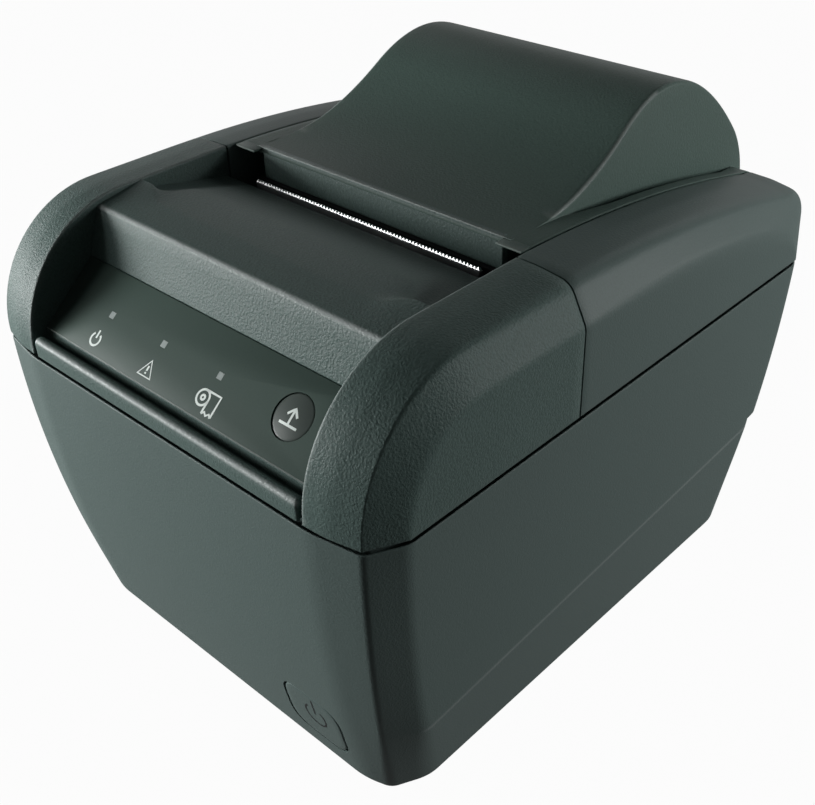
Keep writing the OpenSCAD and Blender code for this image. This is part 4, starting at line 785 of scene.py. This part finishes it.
def lid_section(hump, flange):
    """One section across the lid, from a point on the housing's top and one on the flange."""
    top_x = HUMP_X - DRAFT * min(max(0, hump[1] - flange[1]), DRAFT_H)
    sunk = step((flange[0] - CHANNEL_FROM) / FADE_IN) * step((CHANNEL_TO - flange[0]) / FADE_OUT)
    wide, bottom = 0.3 + CHANNEL_W * sunk, (flange[0], flange[1] - CHANNEL_D * sunk)
    half = [(LID_X, *flange), (HUMP_X + wide + 0.3, *flange), (HUMP_X + wide, *bottom), (HUMP_X, *bottom),
            (top_x, *hump)]
    radii = [0, 0.4, 0.3, 0.3, 1.4]
    return soften(half + [(-x, y, z) for x, y, z in reversed(half)], radii + radii[::-1], 6,
                  [3, 1, 1, 10, 24, 10, 1, 1, 3, 1], closed=False)


lid_plastic = plastic("lid_plastic", (0.054, 0.084, 0.073), 0.6, 0.1, 0.47, 0.17, 0.1)
lid_rings = [lid_section(*pair) for pair in lid_lines]
lid_parts = [shell(piece("lid_skin", *loops(lid_rings, close_ring=False), lid_plastic), LID_WALL, 0.3)]
lid_front = block("lid_front", (-EAR_X, WALL_Y - 0.1, 121.1),
                  (EAR_X, WALL_Y + 1.9, hump_z(WALL_Y) + 0.02), front_plastic, 0.4)
for side in (-1, 1):
    low, high = sorted((side * 41.5, side * LID_X))
    lid_parts.append(prism("barrel", circle(HINGE_Y, HINGE_Z, BARREL_R, 40), low, high, axis="X"))
    lid_parts[-1].data.materials.append(lid_plastic)
    low, high = sorted((side * 36, side * 41.8))
    lid_parts.append(block("lid_post", (low, -16.3, 121), (high, -7.3, 128), lid_plastic, 0.3))
    low, high = sorted((side * EAR_X, side * LID_X))
    lid_parts.append(block("lid_ear", (low, LID_FRONT, slope_z(LID_FRONT) - 0.75),
                           (high, WALL_Y + 0.6, slope_z(WALL_Y) + 0.02), lid_plastic, 0.3))
lid_shell = merge("lid_moulding", *lid_parts, lid_front)
crisp(lid_shell, 42)
# Painted highlights too: on the ears, the edges along the housing and the top of the front wall
for side in (-1, 1):
    ear_edge = [(side * x, LID_FRONT, slope_z(LID_FRONT) - 0.1) for x in (EAR_X + 0.6, LID_X - 0.4)]
    hump_edge = [(side * (HUMP_X - DRAFT * max(0, hump_z(y) - slope_z(y)) - 0.25), y, hump_z(y) - 0.3)
                 for y in np.linspace(-1, 45, 24)]
    paint_highlight(lid_shell, ear_edge, reach=0.6, amount=0.7)
    paint_highlight(lid_shell, hump_edge, reach=0.7, amount=0.6)
paint_highlight(lid_shell, [(x, WALL_Y, hump_z(WALL_Y)) for x in (-EAR_X, EAR_X)], reach=0.6, amount=0.6)
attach(lid_shell, "lid")
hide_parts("lid_shell")

# ---------------- tear bar
# A strip of ground stainless steel with a saw edge, let into the rear of the deck. The
# teeth are cut along the whole of its top edge and lean back.
BAR_W, BAR_T, BAR_H, BAR_Y, BAR_TOP = 82, 1.2, 7, -22.3, 122.9
TEETH, TOOTH_H, TOOTH_LEAN = 73, 0.75, math.radians(32)


class Pattern(Look):
    """A Geometry Nodes tree. need() adds a named input, and grow() turns the tree into a plain mesh."""
    family = "GeometryNode"

    def __init__(self, name):
        self.name, self.values = name, {}
        self.tree = bpy.data.node_groups.new(name, "GeometryNodeTree")
        self.tree.interface.new_socket("Geometry", in_out="OUTPUT", socket_type="NodeSocketGeometry")
        self.given = self.tree.nodes.new("NodeGroupInput")

    def need(self, label, value, kind="Float"):
        socket = self.tree.interface.new_socket(label, in_out="INPUT", socket_type="NodeSocket" + kind)
        self.values[socket.identifier] = value
        return Val(self, self.given.outputs[label])

    def vector(self, x, y, z):
        return self.make("CombineXYZ", {"X": x, "Y": y, "Z": z}, family="ShaderNode")

    def grow(self, shape, finish):
        whole = self.make("RealizeInstances", {0: shape})
        self.tree.links.new(whole.socket, self.tree.nodes.new("NodeGroupOutput").inputs[0])
        made = put(self.name, bpy.data.meshes.new(self.name))
        modifier = made.modifiers.new("pattern", "NODES")
        modifier.node_group = self.tree
        for identifier, value in self.values.items():
            modifier[identifier] = value
        freeze(made)
        made.data.materials.clear()
        made.data.materials.append(finish)
        made.data.polygons.foreach_set("material_index", [0] * len(made.data.polygons))
        return made


def metal(name, tone, rough, grain, along=(1, 1, 1), mottle=0.06, depth=0.004, dull=1):
    """Bare metal: grain is the size of its marks in mm, drawn out by the share in along. Away from its
    highlight attribute it is painted darker as shade, by the share in dull."""
    look = Look(name)
    where = look.place()
    laid = look.make("Mapping", {"Vector": where, "Scale": along})
    marks, cloud = look.noise(laid, 1000 / grain, Detail=3), look.noise(where, 60, Detail=2)
    shade = look.blend(marks * 0.5 + cloud * 0.5, grey(1 - mottle, tone), grey(1 + mottle, tone))
    # Painted shade: darker away from the painted highlight
    if dull < 1:
        rubbed = look.make("Attribute", None, {"attribute_name": "rubbed"}, out="Fac")
        shade = look.blend(rubbed, grey(dull, tone), shade)
    bump = look.make("Bump", {"Height": marks, "Distance": depth * MM})
    look.surface({"Base Color": shade, "Metallic": 1, "Normal": bump,
                  "Roughness": marks * 0.16 + cloud * 0.1 + (rough - 0.13)})
    return look.owner


def dress(finish, *names):
    """Gives nodes their finish."""
    for name in names:
        nodes[name].data.materials.clear()
        nodes[name].data.materials.append(finish)


blade_steel = metal("blade_steel", (0.74, 0.75, 0.76), 0.3, 0.16, (1, 1, 0.08))
# The bar is painted darker as the shade of its slot, except along its teeth
bar_steel = metal("bar_steel", (0.55, 0.56, 0.56), 0.34, 0.16, (1, 1, 0.08), dull=0.15)
saw = Pattern("tear_strip")
width, thick, tall, pitch, tooth, place_y, place_z = (saw.need(label, size * MM) for label, size in (
    ("Width", BAR_W), ("Thickness", BAR_T), ("Height", BAR_H), ("Pitch", BAR_W / TEETH), ("Tooth", TOOTH_H),
    ("Y", BAR_Y), ("Top", BAR_TOP)))
count = saw.need("Teeth", TEETH, "Int")
# One tooth is a three-sided cylinder of radius and length 1, stood on a side: 3/2 high and the root of 3 wide
wedge = saw.make("MeshCylinder", {"Vertices": 3, "Radius": 1, "Depth": 1})
QUARTER = math.pi / 2
wedge = saw.make("Transform", {"Geometry": wedge, "Rotation": (QUARTER, -QUARTER, 0)})
wedge = saw.make("Transform", {
    "Geometry": wedge, "Scale": saw.vector(pitch * (1 / math.sqrt(3)), thick, tooth * (2 / 3))})
row = saw.make("MeshLine", {
    "Count": count, "Start Location": saw.vector((pitch - width) * 0.5, place_y, place_z - tooth * (2 / 3)),
    "Offset": saw.vector(pitch, 0, 0)})
teeth = saw.make("InstanceOnPoints", {
    "Points": row, "Instance": wedge, "Rotation": (-TOOTH_LEAN, 0, 0)})
strip = saw.make("MeshCube", {"Size": saw.vector(width, thick, tall - tooth)})
strip = saw.make("Transform", {
    "Geometry": strip, "Translation": saw.vector(0, place_y, place_z - tooth - (tall - tooth) * 0.5)})
tear_strip = saw.grow(saw.make("JoinGeometry", {0: [strip, teeth]}), bar_steel)
# Painted highlight along the teeth
paint_highlight(tear_strip, [(x, BAR_Y, BAR_TOP) for x in (-BAR_W / 2, BAR_W / 2)], reach=2.2, amount=1.5)
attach(tear_strip, "printer")
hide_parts("tear_bar")
dress(blade_steel, "fixed_blade", "cutter_blade")

# ---------------- control panel
# A satin polyester sheet let into the slope, printed from behind, with square windows
# for three lights and a round hole for the paper feed button.
SHEET_X, SHEET_EDGE, SHEET_LIP, INK_PROUD = BAY_X - 0.2, 0.2, 0.55, 0.03
panel_film = plastic("panel_film", (0.050, 0.074, 0.064), 0.5, 0.004, 0.42, 0.05, 0.07)
sheet = block("panel_sheet", (-SHEET_X, SHEET_EDGE, -SHEET_T), (SHEET_X, PANEL_LEN - SHEET_EDGE, 0),
              panel_film, 0.14)
cut(sheet, *panel_holes(0.1))
sheet.data.transform(PANEL_FRAME)
sheet_foot = block(
    "sheet_foot", (-SHEET_X, SHEET_EDGE, -SHEET_T), (SHEET_X, SHEET_LIP, INK_PROUD), panel_film, 0.1)
sheet_foot.data.transform(PANEL_FRAME)
# Painted highlight along the foot of the sheet
paint_highlight(sheet_foot, [on_slope(x, 0.4) for x in (-BAY_X, BAY_X)], reach=0.9, amount=0.5)
sheet = merge("panel_sheet", sheet, sheet_foot)
crisp(sheet, 40)
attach(sheet, "printer")
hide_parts("panel_overlay")


def on_sheet(x, v):
    return on_slope(x, v, INK_PROUD)


# The signs under the lights: power, a warning triangle, and a roll of paper with its torn tail
ink_light = plastic("ink_light", (0.68, 0.74, 0.71), 0.3, 0.003, 0.45, 0.08)
SIGN_V, LINE, ON_X, WARN_X, ROLL_X = 4.4, 0.6, -33.2, -11.2, 9.6
ROLL_V, ROLL_TOP, TAIL_X, TAIL_V = SIGN_V + 0.9, SIGN_V + 2.9, ROLL_X + 2, SIGN_V - 2.6
sign_lines = (
    ("on_ring", bow(ON_X, SIGN_V - 0.2, 1.75, SIGN_GAP, 360 - SIGN_GAP), False),
    ("on_bar", [(ON_X, SIGN_V + 0.1 + 0.45 * i) for i in range(6)], False),
    ("warn_frame", [(WARN_X - 2.5, SIGN_V - 2), (WARN_X + 2.5, SIGN_V - 2), (WARN_X, SIGN_V + 2.3)], True),
    ("warn_bar", [(WARN_X, SIGN_V - 0.55 + 0.45 * i) for i in range(4)], False),
    ("warn_dot", [(WARN_X, SIGN_V - 1.35), (WARN_X, SIGN_V - 0.9)], False),
    ("roll", bow(ROLL_X, ROLL_V, ROLL_TOP - ROLL_V, 0, 360), False),
    ("roll_core", bow(ROLL_X, ROLL_V, 0.6, 0, 360), False),
    ("tail", [(TAIL_X, ROLL_V), (TAIL_X, TAIL_V)], False),
    ("tail_end", [(TAIL_X + 0.8 * i, TAIL_V + 0.7 * (i % 2)) for i in range(5)], False),
    ("tail_side", [(TAIL_X + 3.2, TAIL_V), (TAIL_X + 3.2, ROLL_TOP), (ROLL_X, ROLL_TOP)], False))
panel_signs = merge("panel_signs", *(
    ribbon(name, path, LINE, on_sheet, ink_light, closed) for name, path, closed in sign_lines))
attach(panel_signs, "printer")

dress(plastic("clear_grey", (0.30, 0.34, 0.33), 0.6, 0.003, 0.25, 0.1),
      "power_light", "error_light", "paper_light")

# ---------------- feed button
# A round key moulded in satin charcoal plastic, slightly domed and flush with the sheet.
# It slides in the panel's seat, and an arrow out of a slot is printed on it.
DOME_R, DOME_TOP, KEY_FOOT, FEED_LINE, FEED_PROUD = 30, 0.27, -3, 0.62, 0.04


def dome(r):
    return DOME_TOP - DOME_R + math.sqrt(DOME_R ** 2 - r * r)


# The key's profile as (radius, height): its foot, its wall, the broken edge and the dome
profile = [(FEED_R - 0.3, KEY_FOOT), (FEED_R, KEY_FOOT + 0.2), (FEED_R, dome(FEED_R) - 0.25),
           (FEED_R - 0.07, dome(FEED_R) - 0.08)]
profile += [(FEED_R - inset, dome(FEED_R - inset)) for inset in (0.25, 0.6, 1, 1.6, 2.3, 3, 3.8, 4.5)]
button_satin = plastic("button_satin", (0.060, 0.074, 0.068), 0.3, 0.006, 0.34, 0.05)
key_rings = [[(x, v, high) for x, v in circle(FEED_X, FEED_V, r, FEED_STEPS)] for r, high in profile]
feed_key = piece("feed_key", *capped(key_rings), button_satin)
feed_key.data.transform(PANEL_FRAME)
crisp(feed_key, 40)
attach(feed_key, "feed_key")
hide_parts("feed_button")


def on_dome(x, v):
    return on_slope(x, v, dome(math.hypot(x - FEED_X, v - FEED_V)) + FEED_PROUD)


feed_sign = merge("feed_sign", *(ribbon(name, path, FEED_LINE, on_dome, ink_light) for name, path in (
    ("arrow", [(FEED_X, FEED_V - 1.9 + 0.5 * i) for i in range(8)]),
    ("arrow_head", [(FEED_X + 0.4 * i, FEED_V + 1.9 - 0.45 * abs(i)) for i in range(-4, 5)]),
    ("slit", [(FEED_X - 2.8 + 0.7 * i, FEED_V - 2.2) for i in range(9)]))))
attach(feed_sign, "feed_key")

# ---------------- base, feet and screws
# A plain black-grey moulding closes the case below. Four rubber pads are pressed into
# it, and zinc plated cross-head screws hold the mouldings together.
dress(plastic("base_plastic", (0.05, 0.058, 0.055), 0.6, 0.03, 0.5, 0.08, 0.4), "base_plate")
dress(plastic("foot_rubber", (0.028, 0.028, 0.028), 1.2, 0.05, 0.75, 0.2, 0.2), "rubber_feet")
dress(metal("screw_steel", (0.55, 0.56, 0.57), 0.32, 0.8, mottle=0.1),
      "base_screws", "cover_screws", "panel_screws", "carrier_screws", "bucket_screws", "chassis_screws",
      "board_screws", "port_screws")

# ---------------- paper drive
# The lid carries the rubber covered platen in two bushings. Its acetal gear meets an
# idler that the feed motor turns. Shafts are turned and polished steel.
dress(plastic("platen_rubber", (0.035, 0.035, 0.037), 0.25, 0.012, 0.6, 0.1, 0.35), "platen_rubber")
dress(metal("bright_steel", (0.65, 0.66, 0.67), 0.2, 0.4, (0.2, 1, 1)),
      "platen_shaft", "hinge_pins", "idler_axle", "head_shaft", "head_springs")
dress(plastic("gear_acetal", (0.74, 0.72, 0.66), 0.9, 0.006, 0.36, 0.03),
      "platen_gear", "idler_gear", "motor_pinion", "cutter_pinion", "platen_bushings")
dark_moulding = plastic("dark_moulding", (0.02, 0.022, 0.022), 0.5, 0.02, 0.45, 0.12)
dress(dark_moulding, "platen_carrier", "cutter_guides", "feed_switch", "power_switch", "paper_sensor",
      "near_end_sensor", "lid_sensor")
dress(metal("motor_plate", (0.30, 0.31, 0.32), 0.36, 0.6), "feed_motor", "cutter_motor")

# ---------------- frame, head and roll bucket
# A folded galvanised frame stands on brass posts, and carries the thermal head, the
# springs behind it and the cutter. The bucket for the roll is moulded in black.
spangle = Look("frame_steel")
where = spangle.place()
flake = spangle.make("TexVoronoi", {"Vector": where, "Scale": 220}, out="Color")
tint = spangle.make("SeparateColor", {"Color": flake})
sheen = spangle.blend(tint, (0.44, 0.46, 0.47, 1), (0.58, 0.6, 0.61, 1))
spangle.surface({"Base Color": sheen, "Metallic": 1,
                 "Roughness": tint * 0.14 + spangle.noise(where, 1500) * 0.1 + 0.24})
dress(spangle.owner, "chassis", "head_bracket", "port_plate")
dress(metal("post_brass", (0.60, 0.48, 0.22), 0.28, 0.5), "frame_posts")
dress(metal("head_aluminium", (0.55, 0.57, 0.58), 0.42, 0.7, depth=0.02), "head_heatsink")
dress(plastic("head_ceramic", (0.76, 0.73, 0.66), 0.5, 0.002, 0.16, 0.04), "print_head")
dress(dark_moulding, "roll_bucket")

# ---------------- circuit boards and sockets
# Green boards with black parts, two sleeved capacitors with bare tops, a flat cable to
# the head, and a row of sockets that show through the plate at the rear.
board = Look("circuit_board")
where = board.place()
bricks = board.make("TexBrick", {
    "Vector": where, "Scale": 240, "Color1": (0.018, 0.115, 0.048, 1), "Color2": (0.022, 0.14, 0.058, 1),
    "Mortar": (0.05, 0.24, 0.10, 1), "Mortar Size": 0.03}, {"offset": 0.35, "squash": 1.6})
board.surface({"Base Color": bricks, "Roughness": board.noise(where, 900) * 0.12 + 0.22})
dress(board.owner, "main_board", "panel_board")
dress(dark_moulding, "board_parts", "power_jack", "drawer_jack", "usb_port", "serial_port")

SLEEVE_TOP = 24.3
sleeve = Look("capacitor_sleeve")
where = sleeve.place()
height = sleeve.make("SeparateXYZ", {"Vector": where}, out="Z")
bare = height.sum("GREATER_THAN", height, SLEEVE_TOP * MM)
skin = sleeve.blend(bare, (0.035, 0.06, 0.14, 1), (0.7, 0.71, 0.72, 1))
sleeve.surface({"Base Color": skin, "Metallic": bare, "Roughness": sleeve.noise(where, 800) * 0.15 + 0.25})
dress(sleeve.owner, "board_capacitors")
dress(plastic("led_clear", (0.62, 0.66, 0.52), 0.8, 0.002, 0.15, 0.05), "panel_leds")

film = Look("cable_film")
tracks = film.make("TexWave", {"Vector": film.place(), "Scale": 160}, {"wave_profile": "TRI"})
copper = film.blend(tracks, (0.62, 0.60, 0.52, 1), (0.78, 0.77, 0.72, 1))
film.surface({"Base Color": copper, "Roughness": tracks * 0.1 + 0.25})
dress(film.owner, "head_cable")

# ---------------- hand-over
# The size of the finished printer is noted down beside that of its solids, in metres.
bpy.context.scene.view_settings.view_transform = "Standard"
low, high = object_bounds()
{"cad": [list(solid_low), list(solid_high)], "visual": [list(low), list(high)]}
